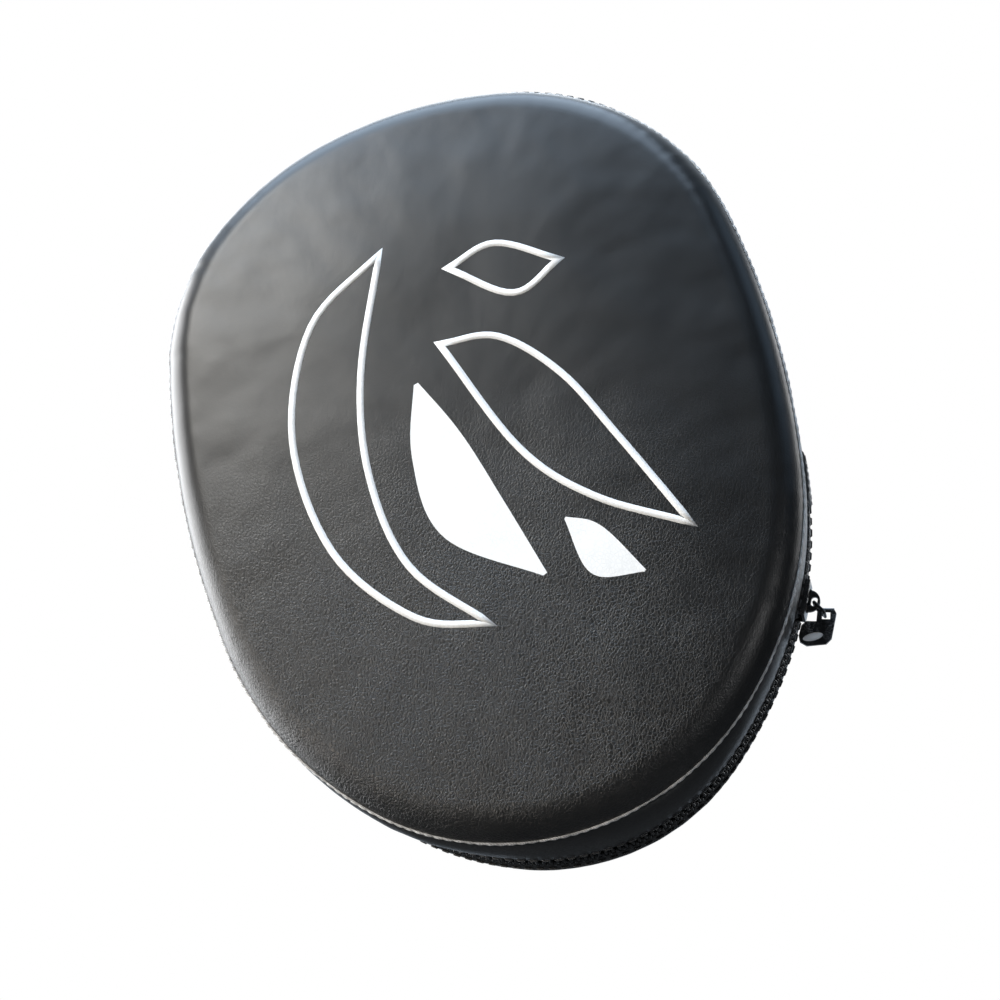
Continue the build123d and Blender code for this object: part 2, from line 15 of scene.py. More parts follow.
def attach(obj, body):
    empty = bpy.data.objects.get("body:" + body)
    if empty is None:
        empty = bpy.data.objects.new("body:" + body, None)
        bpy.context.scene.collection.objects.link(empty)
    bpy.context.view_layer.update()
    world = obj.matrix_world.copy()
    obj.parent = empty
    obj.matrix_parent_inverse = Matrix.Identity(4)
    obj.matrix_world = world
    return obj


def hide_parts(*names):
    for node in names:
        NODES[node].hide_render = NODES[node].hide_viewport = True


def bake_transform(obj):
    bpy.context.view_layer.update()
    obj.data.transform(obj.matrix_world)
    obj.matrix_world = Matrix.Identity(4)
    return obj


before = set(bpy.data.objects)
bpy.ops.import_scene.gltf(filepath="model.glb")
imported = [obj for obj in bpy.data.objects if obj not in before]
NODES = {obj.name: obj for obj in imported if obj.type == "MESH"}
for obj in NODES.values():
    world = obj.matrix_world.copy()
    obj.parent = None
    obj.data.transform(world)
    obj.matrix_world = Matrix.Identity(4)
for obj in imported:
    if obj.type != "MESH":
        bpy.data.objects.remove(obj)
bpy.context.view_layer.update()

SCENE = bpy.context.scene

# ---------------------------------------------------------------- driving dimensions
SEAM_Y = 7.0        # front seam, between strike face and side wall
BELT_Y = 22.0       # zip's plane where it crosses z = 0
TILT = math.radians(3.43)
CT, ST = math.cos(TILT), math.sin(TILT)
ZIP_EDGE = 4.7      # from the zip's centre line to the leather
REAR_V = 17.0       # rear panel
FOOT = REAR_V + 0.1         # where sewn-on parts stand
FOOT_LOW = FOOT - 0.05      # their lowest edge
SIDES = ((-1, "front"), (1, "rear"))    # sides of the zip: sign of v, name


# ---------------------------------------------------------------- outlines
def closed_outline(top, arcs):
    """Tangent arcs (cx, cz, radius, start, end) round a mirrored outline.

    top is the outline's highest z; arcs holds (radius, end angle) pairs down the +x side. The
    last arc is worked out so that it closes on x = 0.
    """
    half, cx, cz, start = [], 0.0, top - arcs[0][0], 0.0
    for i, (radius, end) in enumerate(arcs):
        if i:
            turn, step = math.radians(start), arcs[i - 1][0] - radius
            cx += math.sin(turn) * step
            cz += math.cos(turn) * step
        half.append((cx, cz, radius, start, end))
        start = end
    turn = math.radians(start)
    step = -cx / math.sin(turn)
    last = (0.0, cz + math.cos(turn) * step, arcs[-1][0] - step, start, 360.0 - start)
    first = half[0][:3] + (-half[0][4], half[0][4])
    mirrored = [(-x, z, r, 360.0 - b, 360.0 - a) for x, z, r, a, b in reversed(half[1:])]
    return [first] + half[1:] + [last] + mirrored


FACE = closed_outline(125.0, ((129.12, 15.1), (79.49, 80.4), (279.09, 99.5), (121.06, 135.4)))
BELT = closed_outline(127.21, ((131.57, 15.23), (77.59, 79.49), (282.0, 99.04), (126.78, 138.21)))

# How far the stuffed cover lies inside each drawn outline: (angle, inset)
BELT_INSET = (
    (0, 2.1), (17, 1.0), (35, 0.5), (50, 0.5), (60, 0.9), (70, 1.2), (80, 0.9), (90, 0.4),
    (98, 0.3), (105, 0.3), (113, 0.35), (118, 0.6), (134, 0.6), (150, 0.0), (165, 0.2),
    (180, 1.2), (190, 1.9), (200, 2.9), (212, 3.5), (225, 3.6), (238, 3.0), (252, 1.9),
    (270, 1.5), (285, 1.3), (300, 1.0), (312, 2.2), (322, 4.2), (335, 5.0), (348, 3.8),
    (360, 2.1),
)
FACE_INSET = (
    (0, 0.4), (18, 0.0), (240, 0.0), (252, 0.6), (262, 1.1), (272, 0.7), (284, 0.0),
    (308, 0.4), (322, 1.5), (336, 1.7), (350, 0.9), (360, 0.4),
)


def smoothed_inset():
    """The belt inset at every whole degree 0..360, softened by a bell-shaped kernel."""
    reach = 12
    inset = np.interp(np.arange(0, 360, 1.0), *zip(*BELT_INSET))
    kernel = np.exp(-(np.arange(-reach, reach + 1) / 5.0) ** 2)
    wrapped = np.concatenate([inset[-reach:], inset, inset[:reach]])
    inset = np.convolve(wrapped, kernel / kernel.sum(), "valid")
    return np.append(inset, inset[0])


SMOOTH_INSET = smoothed_inset()


def arc_at(arcs, angle):
    """The arc whose span holds a normal angle."""
    angle = angle % 360.0
    for arc in arcs:
        for turn in (0.0, -360.0):
            if arc[3] - 1e-9 <= angle + turn <= arc[4] + 1e-9:
                return arc
    return arcs[0]


def outline_pts(arcs, angles, offset):
    """Outline points (x, z) at normal angles, moved outwards by offset."""
    out = []
    for angle, off in zip(angles, np.broadcast_to(offset, np.shape(angles))):
        cx, cz, radius = arc_at(arcs, angle)[:3]
        t = math.radians(angle)
        out.append((cx + (radius + off) * math.sin(t), cz + (radius + off) * math.cos(t)))
    return np.array(out)


def belt_pts(angles, offset):
    """Points of the zip belt as the stuffed cover holds it."""
    inset = np.interp(np.asarray(angles, float) % 360.0, np.arange(361.0), SMOOTH_INSET)
    return outline_pts(BELT, angles, offset - inset)


def face_pts(angles, offset):
    """Points of the stuffed face outline; the inset dies away towards the middle."""
    inset = np.interp(angles % 360.0, *zip(*FACE_INSET))
    return outline_pts(FACE, angles, offset - inset * np.exp(np.minimum(offset, 0.0) / 15.0))


def even_angles(arcs, count, start=None, end=None):
    """Normal angles at equal steps of arc length, and that length.

    The whole closed outline, or start..end with both ends.
    """
    spans = []
    for turn in ((0.0,) if start is None else (-360.0, 0.0, 360.0)):
        for arc in arcs:
            lo, hi = arc[3] + turn, arc[4] + turn
            if start is not None:
                lo, hi = max(lo, start), min(hi, end)
            if hi - lo > 1e-9:
                spans.append((lo, hi, arc[2]))
    spans.sort()
    run = np.cumsum([0.0] + [math.radians(hi - lo) * r for lo, hi, r in spans])
    out = []
    for s in np.linspace(0, run[-1], count, endpoint=start is not None):
        k = min(np.searchsorted(run, s, side="right") - 1, len(spans) - 1)
        out.append(spans[k][0] + math.degrees((s - run[k]) / spans[k][2]))
    return np.array(out), run[-1]


def edge_distance(x, z):
    """Distance from (x, z) inside the face outline to the outline."""
    x, z = np.asarray(x, float), np.asarray(z, float)
    best = np.full(x.shape, 1e9)
    for cx, cz, radius, start, end in FACE:
        dx, dz = x - cx, z - cz
        angle = np.degrees(np.arctan2(dx, dz)) % 360.0
        inside = ((angle >= start) & (angle <= end)) | ((angle - 360 >= start) & (angle - 360 <= end))
        best = np.where(inside, np.minimum(best, radius - np.hypot(dx, dz)), best)
    return best


# ---------------------------------------------------------------- frames
def front_pt(x, y, z):
    """A point in metres."""
    return np.stack(np.broadcast_arrays(x, y, z), -1) / 1000.0


def rear_pt(x, v, z):
    """A point of the rear frame, in metres on the main axes."""
    x, v, z = np.broadcast_arrays(x, v, z)
    return np.stack([x, BELT_Y + v * CT - z * ST, v * ST + z * CT], -1) / 1000.0


def rear_dir(x, v, z):
    """A direction of the rear frame on the main axes."""
    x, v, z = np.broadcast_arrays(x, v, z)
    return np.stack([x, v * CT - z * ST, v * ST + z * CT], -1)


REAR_OUT = rear_dir(0, 1, 0)


def to_rear(co):
    """Metres on the main axes to rear-frame millimetres, columns x, v, z."""
    y, z = co[:, 1] * 1000 - BELT_Y, co[:, 2] * 1000
    return np.stack([co[:, 0] * 1000, y * CT + z * ST, -y * ST + z * CT], -1)


def lay(path, v):
    """Points of an (x, z) path at rear depth v."""
    return rear_pt(path[:, 0], v, path[:, 1])


def belt_ring(angles, offset, v):
    return lay(belt_pts(angles, offset), v)


def face_ring(angles, offset, y):
    x, z = face_pts(angles, offset).T
    return front_pt(x, y, z)


def outward(angles):
    """Outline normals as 3D directions."""
    t = np.radians(angles)
    return np.stack([np.sin(t), 0 * t, np.cos(t)], -1)


def unevenness(x, y, z, size, seed):
    """Smooth fractal noise; size is the feature size."""
    x, y, z = np.broadcast_arrays(x, y, z)
    out = [noise.fractal(Vector((a / size + seed, b / size - seed, c / size + 2 * seed)), 0.6, 2.0, 2)
           for a, b, c in zip(x.ravel(), y.ravel(), z.ravel())]
    return np.array(out).reshape(x.shape)


def ruffle(angles, waves, seed):
    """Noise that closes on itself round an outline; more waves means finer."""
    return np.array([noise.noise(Vector((math.cos(t) * waves, math.sin(t) * waves, seed)))
                     for t in np.radians(angles)])


# ---------------------------------------------------------------- mesh helpers
def unit(a):
    a = np.asarray(a, float)
    return a / np.maximum(np.linalg.norm(a, axis=-1, keepdims=True), 1e-12)


def run_length(path):
    return np.concatenate([[0], np.cumsum(np.linalg.norm(np.diff(path, axis=0), axis=1))])


def sample(at, run, path):
    return np.stack([np.interp(at, run, path[:, k]) for k in range(path.shape[1])], -1)


def resample(path, count, closed=False):
    path = np.asarray(path, float)
    if closed:
        path = np.vstack([path, path[:1]])
    run = run_length(path)
    return sample(np.linspace(0, run[-1], count, endpoint=not closed), run, path)


def steps_along(path, closed):
    if closed:
        return np.roll(path, -1, 0) - np.roll(path, 1, 0)
    return np.gradient(path, axis=0)


def normals2(path, closed=False):
    """Left-hand normals of an (x, z) path."""
    d = steps_along(path, closed)
    d = d / np.maximum(np.linalg.norm(d, axis=1, keepdims=True), 1e-9)
    return np.stack([-d[:, 1], d[:, 0]], -1)


def circle(radius, count=8, squash=1.0):
    a = np.linspace(0, 2 * math.pi, count, endpoint=False)
    return np.stack([radius * np.cos(a), radius * squash * np.sin(a)], -1)


def round_rect(width, height, radius):
    """Rounded rectangle as a closed profile (across, up)."""
    out = []
    for sx, sy, start in ((1, 1, 0), (-1, 1, 90), (-1, -1, 180), (1, -1, 270)):
        for k in range(5):
            a = math.radians(start + 90 * k / 4)
            out.append((sx * (width / 2 - radius) + radius * math.cos(a),
                        sy * (height / 2 - radius) + radius * math.sin(a)))
    return np.array(out)


def rim(g):
    """The outer ring of a grid, in order."""
    return np.concatenate([g[0, :], g[1:, -1], g[-1, ::-1][1:], g[::-1, 0][1:-1]])


def box_lines(x0, z0, x1, z1):
    """A box and its two diagonals, as (start, end) lines."""
    a, b, c, d = (x0, z0), (x1, z0), (x1, z1), (x0, z1)
    return (a, b), (b, c), (c, d), (d, a), (a, c), (d, b)


class Piece:
    """Collects vertices, in metres, and faces for one object."""

    def __init__(self):
        self.verts, self.faces, self.mats, self.count = [], [], [], 0

    def add(self, verts, faces, mat=0):
        verts = np.asarray(verts, float).reshape(-1, 3)
        self.verts.append(verts)
        self.faces.extend([tuple(int(i) + self.count for i in f) for f in faces])
        self.mats.extend([mat] * len(faces))
        self.count += len(verts)

    def grid(self, g, close_u=False, close_v=False, mat=0, flip=False, caps=False):
        """g is (rows, columns, 3); close_v joins last row to first, close_u last column."""
        r, c = g.shape[:2]
        faces = []
        for i in range(r if close_v else r - 1):
            for j in range(c if close_u else c - 1):
                a, b = i * c + j, i * c + (j + 1) % c
                d, e = ((i + 1) % r) * c + j, ((i + 1) % r) * c + (j + 1) % c
                faces.append((a, d, e, b) if flip else (a, b, e, d))
        if caps:
            faces.append(tuple(range(c))[::-1])
            faces.append(tuple(range((r - 1) * c, r * c)))
        self.add(g, faces, mat)

    def fan(self, start, count, point, closed=True):
        """Triangles from a row of vertices, beginning at start, to one new point."""
        self.add(point, [])
        for j in range(count if closed else count - 1):
            self.faces.append((start + j, start + (j + 1) % count, self.count - 1))
            self.mats.append(0)

    def slab(self, top, bottom):
        """Two matching grids joined round their rims."""
        self.grid(top)
        self.grid(bottom, flip=True)
        self.grid(np.stack([rim(top), rim(bottom)]), close_u=True)

    def sweep(self, path, ups, profile, closed=False, mat=0, scale=1.0):
        """A closed profile (across, up) swept along path (metres); across is tangent x up."""
        ups = unit(np.broadcast_to(ups, path.shape))
        tangent = unit(steps_along(path, closed))
        across = unit(np.cross(tangent, ups))
        up = unit(np.cross(across, tangent))
        pr = profile / 1000.0
        scale = np.broadcast_to(scale, len(path))[:, None, None]
        g = path[:, None] + (across[:, None] * pr[None, :, :1] + up[:, None] * pr[None, :, 1:]) * scale
        self.grid(g, close_u=True, close_v=closed, mat=mat, caps=not closed)

    def stitch(self, path, ups, length, gap, radius, seed, lift=0.12, closed=False, mat=0):
        """A row of separate thread stitches along path (metres); ups are surface normals."""
        ups = unit(np.broadcast_to(ups, path.shape))
        if closed:
            path, ups = np.vstack([path, path[:1]]), np.vstack([ups, ups[:1]])
        run = run_length(path) * 1000.0
        count = max(1, int(round(run[-1] / (length + gap))))
        pitch = run[-1] / count
        rng = np.random.default_rng(seed)
        profile = circle(1.0, 6)
        w = np.linspace(-1, 1, 7)       # along one stitch
        arch = np.sqrt(np.clip(1 - w ** 2, 0, 1))
        thick = radius * (0.25 + 0.75 * np.clip(arch * 1.6, 0, 1))[:, None, None]
        height = (lift + radius * 0.55 * np.clip(arch * 1.4, 0, 1)
                  - radius * 0.75 * (1 - np.clip(arch * 2.2, 0, 1)))
        for k in range(count):
            at = (k + 0.5) * pitch + w * (pitch - gap) / 2
            pos = sample(at, run, path)
            up = unit(sample(at, run, ups))
            side = unit(np.cross(np.broadcast_to(unit(pos[-1] - pos[0]), up.shape), up))
            slant = (rng.random() - 0.5) * 2 * 0.12
            pos = pos + up * height[:, None] / 1000 + side * (w * slant)[:, None] / 1000
            ring = side[:, None] * profile[None, :, :1] + up[:, None] * profile[None, :, 1:]
            self.grid(pos[:, None] + ring * thick / 1000, close_u=True, mat=mat, caps=True)

    def margin(self, path, out, inner, outer, thick, closed=False):
        """A flat sewn margin on the rear panel, from inner to outer beside an (x, z) path."""
        mid = (inner + outer) / 2
        # distance out from the path, share of the thickness
        w, t = np.array([
            (inner, 0), (outer - 0.5, 0), (outer, 0.25), (outer, 0.6), (outer - 0.35 * thick, 0.95),
            (outer - 1.2, 1), (mid + 0.3, 0.86), (mid - 0.3, 0.86), (inner + 1.0, 1), (inner, 1),
        ]).T
        q = path[:, None] + out[:, None] * w[None, :, None]
        g = rear_pt(q[..., 0], FOOT_LOW + thick * t, q[..., 1])
        self.grid(g, close_u=True, close_v=closed, caps=not closed)

    def make(self, name, mats=(), slot=None, replaces=None, body="pad", orient=True):
        me = bpy.data.meshes.new(name)
        me.from_pydata(np.concatenate(self.verts).tolist(), [], self.faces)
        for key in mats:
            me.materials.append(MATS[key])
        me.polygons.foreach_set("material_index", np.array(self.mats, np.int32))
        me.polygons.foreach_set("use_smooth", np.full(len(me.polygons), True))
        me.update()
        ob = bpy.data.objects.new(name, me)
        if orient:
            orient_faces(ob)
        SCENE.collection.objects.link(ob)
        if body:
            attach(ob, body)
        if replaces:
            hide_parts(replaces)
        return ob


def orient_faces(ob, weld=None, outwards=False):
    """Makes face normals agree; outwards turns an open shell's normals to +y."""
    bm = bmesh.new()
    bm.from_mesh(ob.data)
    if weld:
        bmesh.ops.remove_doubles(bm, verts=bm.verts, dist=weld)
    bmesh.ops.recalc_face_normals(bm, faces=bm.faces)
    if outwards and sum(f.normal.y * f.calc_area() for f in bm.faces) < 0:
        bmesh.ops.reverse_faces(bm, faces=bm.faces)
    bm.to_mesh(ob.data)
    bm.free()


def thicken(ob, thickness):
    """Gives a sheet real thickness, inwards."""
    solid = ob.modifiers.new("thickness", "SOLIDIFY")
    solid.thickness, solid.offset = thickness / 1000, -1.0


def bake_modifiers(ob):
    graph = bpy.context.evaluated_depsgraph_get()
    graph.update()
    me = bpy.data.meshes.new_from_object(ob.evaluated_get(graph))
    ob.modifiers.clear()
    ob.data = me
    for poly in me.polygons:
        poly.use_smooth = True


# ---------------------------------------------------------------- material helpers
class Nodes:
    """Writes the node tree of a material or world."""

    def __init__(self, owner):
        owner.use_nodes = True
        self.tree = owner.node_tree
        self.tree.nodes.clear()

    def put(self, socket, value):
        if hasattr(value, "links"):
            self.tree.links.new(value, socket)
        else:
            socket.default_value = value

    def node(self, kind, inputs=None, **props):
        """A node with its properties, and its inputs by name or index."""
        node = self.tree.nodes.new(kind)
        for key, value in props.items():
            setattr(node, key, value)
        for key, value in (inputs or {}).items():
            self.put(node.inputs[key], value)
        return node

    def remap(self, value, src, to=(0.0, 1.0), curve="LINEAR"):
        inputs = dict(enumerate((value, *src, *to)))
        return self.node("ShaderNodeMapRange", inputs, interpolation_type=curve).outputs[0]


class Shader(Nodes):
    """A material with a Principled surface."""

    SOCKETS = {
        "color": "Base Color", "rough": "Roughness", "metal": "Metallic",
        "spec": "Specular IOR Level", "sheen": "Sheen Weight", "sheen_rough": "Sheen Roughness",
        "coat": "Coat Weight", "coat_rough": "Coat Roughness", "normal": "Normal",
    }

    def __init__(self, name):
        self.mat = bpy.data.materials.new(name)
        super().__init__(self.mat)
        self.out = self.node("ShaderNodeOutputMaterial")
        self.bsdf = self.node("ShaderNodeBsdfPrincipled")
        self.put(self.out.inputs[0], self.bsdf.outputs[0])
        self.coord = self.node("ShaderNodeTexCoord").outputs["Object"]

    def set(self, **values):
        for key, value in values.items():
            self.put(self.bsdf.inputs[self.SOCKETS[key]], value)
        return self.mat

    def calc(self, op, a, b, clamp=False):
        inputs = {0: a, 1: b, 2: 0.0}
        return self.node("ShaderNodeMath", inputs, operation=op, use_clamp=clamp).outputs[0]

    def add(self, value, plus):
        return self.calc("ADD", value, plus)

    def mul(self, value, by, clamp=False):
        return self.calc("MULTIPLY", value, by, clamp)

    def power(self, value, exponent):
        return self.calc("POWER", value, exponent)

    def invert(self, value):
        return self.calc("SUBTRACT", 1.0, value)

    def mapped(self, scale=(1, 1, 1), turn=(0, 0, 0)):
        """Object coordinates, scaled and turned (radians)."""
        inputs = {"Vector": self.coord, "Scale": scale, "Rotation": turn}
        return self.node("ShaderNodeMapping", inputs).outputs[0]

    def slanted(self):
        """Coordinates in which leather pebbles come out stretched and slanted."""
        return self.mapped(scale=(1.0, 1.0, 0.74), turn=(0.0, math.radians(-28), 0.0))

    def noise(self, scale, detail=3.0, rough=0.55, distort=0.0):
        inputs = {"Vector": self.coord, "Scale": scale, "Detail": detail, "Roughness": rough,
                  "Distortion": distort}
        return self.node("ShaderNodeTexNoise", inputs).outputs[0]

    def voronoi(self, scale, feature="DISTANCE_TO_EDGE", vec=None, out="Distance"):
        inputs = {"Vector": vec or self.coord, "Scale": scale}
        return self.node("ShaderNodeTexVoronoi", inputs, feature=feature).outputs[out]

    def wave(self, direction, scale, distort, vec):
        inputs = {"Vector": vec, "Scale": scale, "Distortion": distort}
        return self.node("ShaderNodeTexWave", inputs, wave_type="BANDS", bands_direction=direction)

    def mix(self, fac, low, high, blend="MIX"):
        low, high = (c if hasattr(c, "links") else (*c, 1) for c in (low, high))
        inputs = {0: fac, 6: low, 7: high}
        return self.node("ShaderNodeMix", inputs, data_type="RGBA", blend_type=blend).outputs[2]

    def bump(self, height, strength, mm, under=None):
        """mm is the relief's height; under is a normal to build on."""
        inputs = {"Strength": strength, "Distance": mm / 1000.0, "Height": height}
        if under is not None:
            inputs["Normal"] = under
        return self.node("ShaderNodeBump", inputs).outputs[0]


def scaled(colour, factor):
    return [x * factor for x in colour]


# ---------------------------------------------------------------- materials
def leather(name, base, rough, grain, cell, wear, creases=0.3, masked=False):
    """Coated leather: irregular pebbles (cell mm across) with painted shade between them, fine
    creases, dust-dulled patches.

    masked makes it smoother towards the fingertip end and towards +x.
    """
    m = Shader(name)
    slanted = m.slanted()
    bend = m.node("ShaderNodeTexNoise", {"Vector": slanted, "Scale": 520.0, "Detail": 2.0})
    warped = m.node("ShaderNodeVectorMath",
                    {0: bend.outputs["Color"], 1: (0.0011, 0.0011, 0.0011), 2: slanted},
                    operation="MULTIPLY_ADD").outputs[0]
    per_metre = 1000.0 / cell
    edges = m.voronoi(scale=per_metre, vec=warped)
    fine_edges = m.voronoi(scale=per_metre * 2.3, vec=warped)
    pebble = m.power(m.remap(edges, src=(0.0, 0.26)), exponent=0.55)
    fine = m.power(m.remap(fine_edges, src=(0.0, 0.3)), exponent=0.6)
    tone = m.voronoi(scale=per_metre, feature="F1", vec=warped, out="Color")
    tone = m.node("ShaderNodeSeparateColor", {0: tone}).outputs
    height = m.add(m.mul(pebble, by=0.7), m.mul(fine, by=0.22))
    height = m.add(height, m.mul(tone[0], by=0.25))
    height = m.add(height, m.mul(m.noise(scale=5200.0, detail=2.0), by=0.12))
    patches = m.noise(scale=38.0, rough=0.6)
    strength = m.remap(patches, src=(0.3, 0.7), to=(0.62 * grain, 1.0 * grain))
    shade = 1.0
    if masked:
        axes = m.node("ShaderNodeSeparateXYZ", {0: m.coord}).outputs
        shade = m.mul(m.remap(axes[2], src=(0.02, -0.07), to=(0.06, 1.0)),
                      m.remap(axes[0], src=(0.0, 0.065), to=(1.0, 0.32)))
        strength = m.mul(strength, shade)
    normal = m.bump(m.noise(scale=60.0, rough=0.5), strength=0.10 if masked else 0.35, mm=1.2)
    crease = m.voronoi(scale=115.0, vec=m.mapped(scale=(1, 1, 0.5), turn=(0.3, 0.5, 0.2)))
    crease = m.power(m.remap(crease, src=(0.0, 0.06)), exponent=0.5)
    normal = m.bump(crease, strength=creases * 0.12, mm=0.25, under=normal)
    normal = m.bump(height, strength, mm=0.16 * (cell / 1.05), under=normal)

    cool = [base, base, base * 1.03]
    cloud = m.noise(scale=24.0, detail=4.0, rough=0.6)
    color = m.mix(m.remap(cloud, src=(0.35, 0.65)), scaled(cool, 0.8), scaled(cool, 1.3))
    # painted shade: the colour darkens in the valleys between pebbles, where the relief is low
    painted_valley_shade = m.mul(m.mul(m.invert(pebble), by=0.5), shade)
    color = m.mix(painted_valley_shade, color, [base * 0.35] * 3)
    dust = m.noise(scale=14.0, detail=6.0, rough=0.7, distort=0.6)
    dust = m.mul(m.remap(dust, src=(0.52, 0.72)), by=wear * 0.25)
    color = m.mix(dust, color, (0.075, 0.073, 0.07))

    spread = 0.25 if masked else 1.0
    gloss = m.remap(m.noise(scale=30.0, detail=5.0, rough=0.65), src=(0.3, 0.7),
                    to=(rough - 0.05 * spread, rough + 0.07 * spread))
    gloss = m.add(gloss, m.mul(m.mul(m.invert(pebble), by=0.16), shade))
    gloss = m.add(gloss, m.mul(m.mul(tone[1], by=0.05), shade))
    if masked:
        gloss = m.add(gloss, m.mul(m.invert(shade), by=0.065))
    return m.set(color=color, rough=gloss, normal=normal, spec=0.5)


def thread(name, colour, rough):
    """Twisted thread with painted shade in the grooves of its twist, and uneven soiling."""
    m = Shader(name)
    twist = m.wave("DIAGONAL", scale=900.0, distort=2.0, vec=m.coord)
    twist.inputs["Detail"].default_value = 1.0
    twist = twist.outputs["Fac"]
    soil = m.remap(m.noise(scale=260.0, detail=4.0, rough=0.7), src=(0.3, 0.7), to=(0.45, 1.15))
    # painted shade: the colour darkens where the twist's relief is low
    color = m.mix(twist, scaled(colour, 0.55), colour)
    soil = m.node("ShaderNodeCombineColor", {0: soil, 1: soil, 2: soil}).outputs[0]
    color = m.mix(1.0, color, soil, blend="MULTIPLY")
    return m.set(color=color, rough=rough, normal=m.bump(twist, strength=0.5, mm=0.1), sheen=0.3)


def weave(name, colour):
    m = Shader(name)
    warp, weft = (m.wave(axis, scale=375.0, distort=0.6,
                         vec=m.mapped(turn=(0.0, math.radians(38), 0.0))) for axis in "XZ")
    height = m.calc("MAXIMUM", warp.outputs["Fac"], weft.outputs["Fac"])
    height = m.add(height, m.mul(m.noise(scale=3000.0, detail=2.0), by=0.3))
    # painted shade and highlight: the colour darkens where the weave is low and lightens on its raised
    # threads
    color = m.mix(height, scaled(colour, 0.4), scaled(colour, 1.3))
    return m.set(color=color, rough=0.8, normal=m.bump(height, strength=0.6, mm=0.12), sheen=0.25,
                 sheen_rough=0.5)


def plastic(name, colour, rough, grain=0.15):
    m = Shader(name)
    fine = m.noise(scale=900.0)
    cloud = m.noise(scale=120.0)
    gloss = m.noise(scale=300.0, detail=4.0)
    return m.set(color=m.mix(cloud, scaled(colour, 0.75), scaled(colour, 1.25)),
                 rough=m.remap(gloss, src=(0.3, 0.7), to=(rough - 0.05, rough + 0.12)),
                 normal=m.bump(fine, strength=grain, mm=0.05))


def enamel(name, grey=0.012, rough=0.28):
    """Black enamelled die-cast metal, rubbed through to zinc on its raised edges."""
    m = Shader(name)
    edge = m.node("ShaderNodeNewGeometry").outputs["Pointiness"]
    edge = m.remap(edge, src=(0.53, 0.62))
    chips = m.remap(m.noise(scale=2600.0, detail=4.0, rough=0.7), src=(0.5, 0.62))
    worn = m.mul(m.mul(edge, chips), by=0.8, clamp=True)
    fine = m.noise(scale=1400.0)
    gloss = m.remap(fine, src=(0.3, 0.7), to=(rough - 0.04, rough + 0.1))
    return m.set(color=m.mix(worn, [grey] * 3, (0.36, 0.36, 0.37)), metal=worn,
                 rough=m.add(gloss, m.mul(worn, by=0.15)),
                 normal=m.bump(fine, strength=0.12, mm=0.04), coat=0.25, coat_rough=0.2)


def foam(name, colour):
    m = Shader(name)
    cells = m.voronoi(scale=1400.0, feature="F1")
    # painted shade: the colour darkens in the cell pits, where the relief is low
    return m.set(color=m.mix(cells, scaled(colour, 0.5), colour), rough=0.92,
                 normal=m.bump(cells, strength=0.6, mm=0.2))


def ink(name):
    """White screen ink that follows the leather's pebbles, with painted shade in their valleys and
    fine pinholes.
    """
    m = Shader(name)
    pebble = m.voronoi(scale=1000.0 / 1.05, vec=m.slanted())
    pebble = m.power(m.remap(pebble, src=(0.0, 0.26)), exponent=0.6)
    pinholes = m.mul(m.remap(m.noise(scale=1500.0, detail=4.0, rough=0.7), src=(0.63, 0.70)),
                     m.remap(m.noise(scale=90.0), src=(0.45, 0.7)))
    color = m.mix(m.noise(scale=70.0, detail=4.0), (0.80, 0.80, 0.79), (0.93, 0.93, 0.92))
    # painted shade: the ink greys in the pebble valleys
    color = m.mix(m.mul(m.invert(pebble), by=0.22), color, (0.5, 0.5, 0.5))
    color = m.mix(m.mul(pinholes, by=0.6, clamp=True), color, (0.1, 0.1, 0.1))
    return m.set(color=color, rough=0.5, normal=m.bump(pebble, strength=0.25, mm=0.1))


def fuzzy(name, colour):
    m = Shader(name)
    nap = m.noise(scale=900.0, detail=6.0, rough=0.75)
    nap = m.add(nap, m.mul(m.voronoi(scale=1600.0, feature="F1"), by=0.6))
    # painted shade and highlight: the colour darkens where the nap is low and lightens where it stands
    # up
    return m.set(color=m.mix(nap, scaled(colour, 0.5), scaled(colour, 1.6)), rough=0.95,
                 normal=m.bump(nap, strength=0.9, mm=0.35), sheen=0.7, sheen_rough=0.4)


MATS = {
    "face": leather("face_leather", base=0.0028, rough=0.28, grain=1.3, cell=0.9, wear=0.03,
                    creases=0.1, masked=True),
    "wall": leather("wall_leather", base=0.006, rough=0.30, grain=0.3, cell=0.9, wear=0.08),
    "back": leather("back_leather", base=0.011, rough=0.42, grain=0.85, cell=1.1, wear=0.2),
    "hood": leather("hood_leather", base=0.013, rough=0.42, grain=0.8, cell=1.0, wear=0.2),
    "binding": leather("binding_leather", base=0.009, rough=0.38, grain=0.4, cell=0.7, wear=0.15),
    "strap": leather("strap_leather", base=0.012, rough=0.40, grain=0.6, cell=0.9, wear=0.2),
    "grey_thread": thread("grey_thread", colour=(0.78, 0.78, 0.78), rough=0.65),
    "black_thread": thread("black_thread", colour=(0.05, 0.05, 0.052), rough=0.6),
    "tape": weave("zip_tape_weave", colour=(0.012, 0.012, 0.013)),
    "coil": plastic("zip_coil_nylon", colour=(0.006, 0.006, 0.0065), rough=0.46),
    "metal": enamel("zip_enamel"),
    "inset": plastic("pull_inset", colour=(0.90, 0.90, 0.90), rough=0.5, grain=0.3),
    "ink": ink("white_ink"),
    "hook": fuzzy("hook_tape", colour=(0.02, 0.02, 0.02)),
    "loop": fuzzy("loop_tape", colour=(0.03, 0.03, 0.032)),
    "foam_dense": foam("dense_foam", colour=(0.16, 0.16, 0.17)),
    "foam_soft": foam("soft_foam", colour=(0.5, 0.5, 0.48)),
    "board": plastic("backing_sheet", colour=(0.08, 0.08, 0.08), rough=0.5),
}

# ---------------------------------------------------------------- strike face
CROWN = 3.4
ROLL_R = 10.0       # rolled edge of the face
ROLL_WIDTH = math.sqrt(ROLL_R ** 2 - (ROLL_R - SEAM_Y) ** 2)
FACE_MID_Z = -2.0

RING_N = 720
RING, FACE_LEN = even_angles(FACE, RING_N)
RING_OUT = outward(RING)


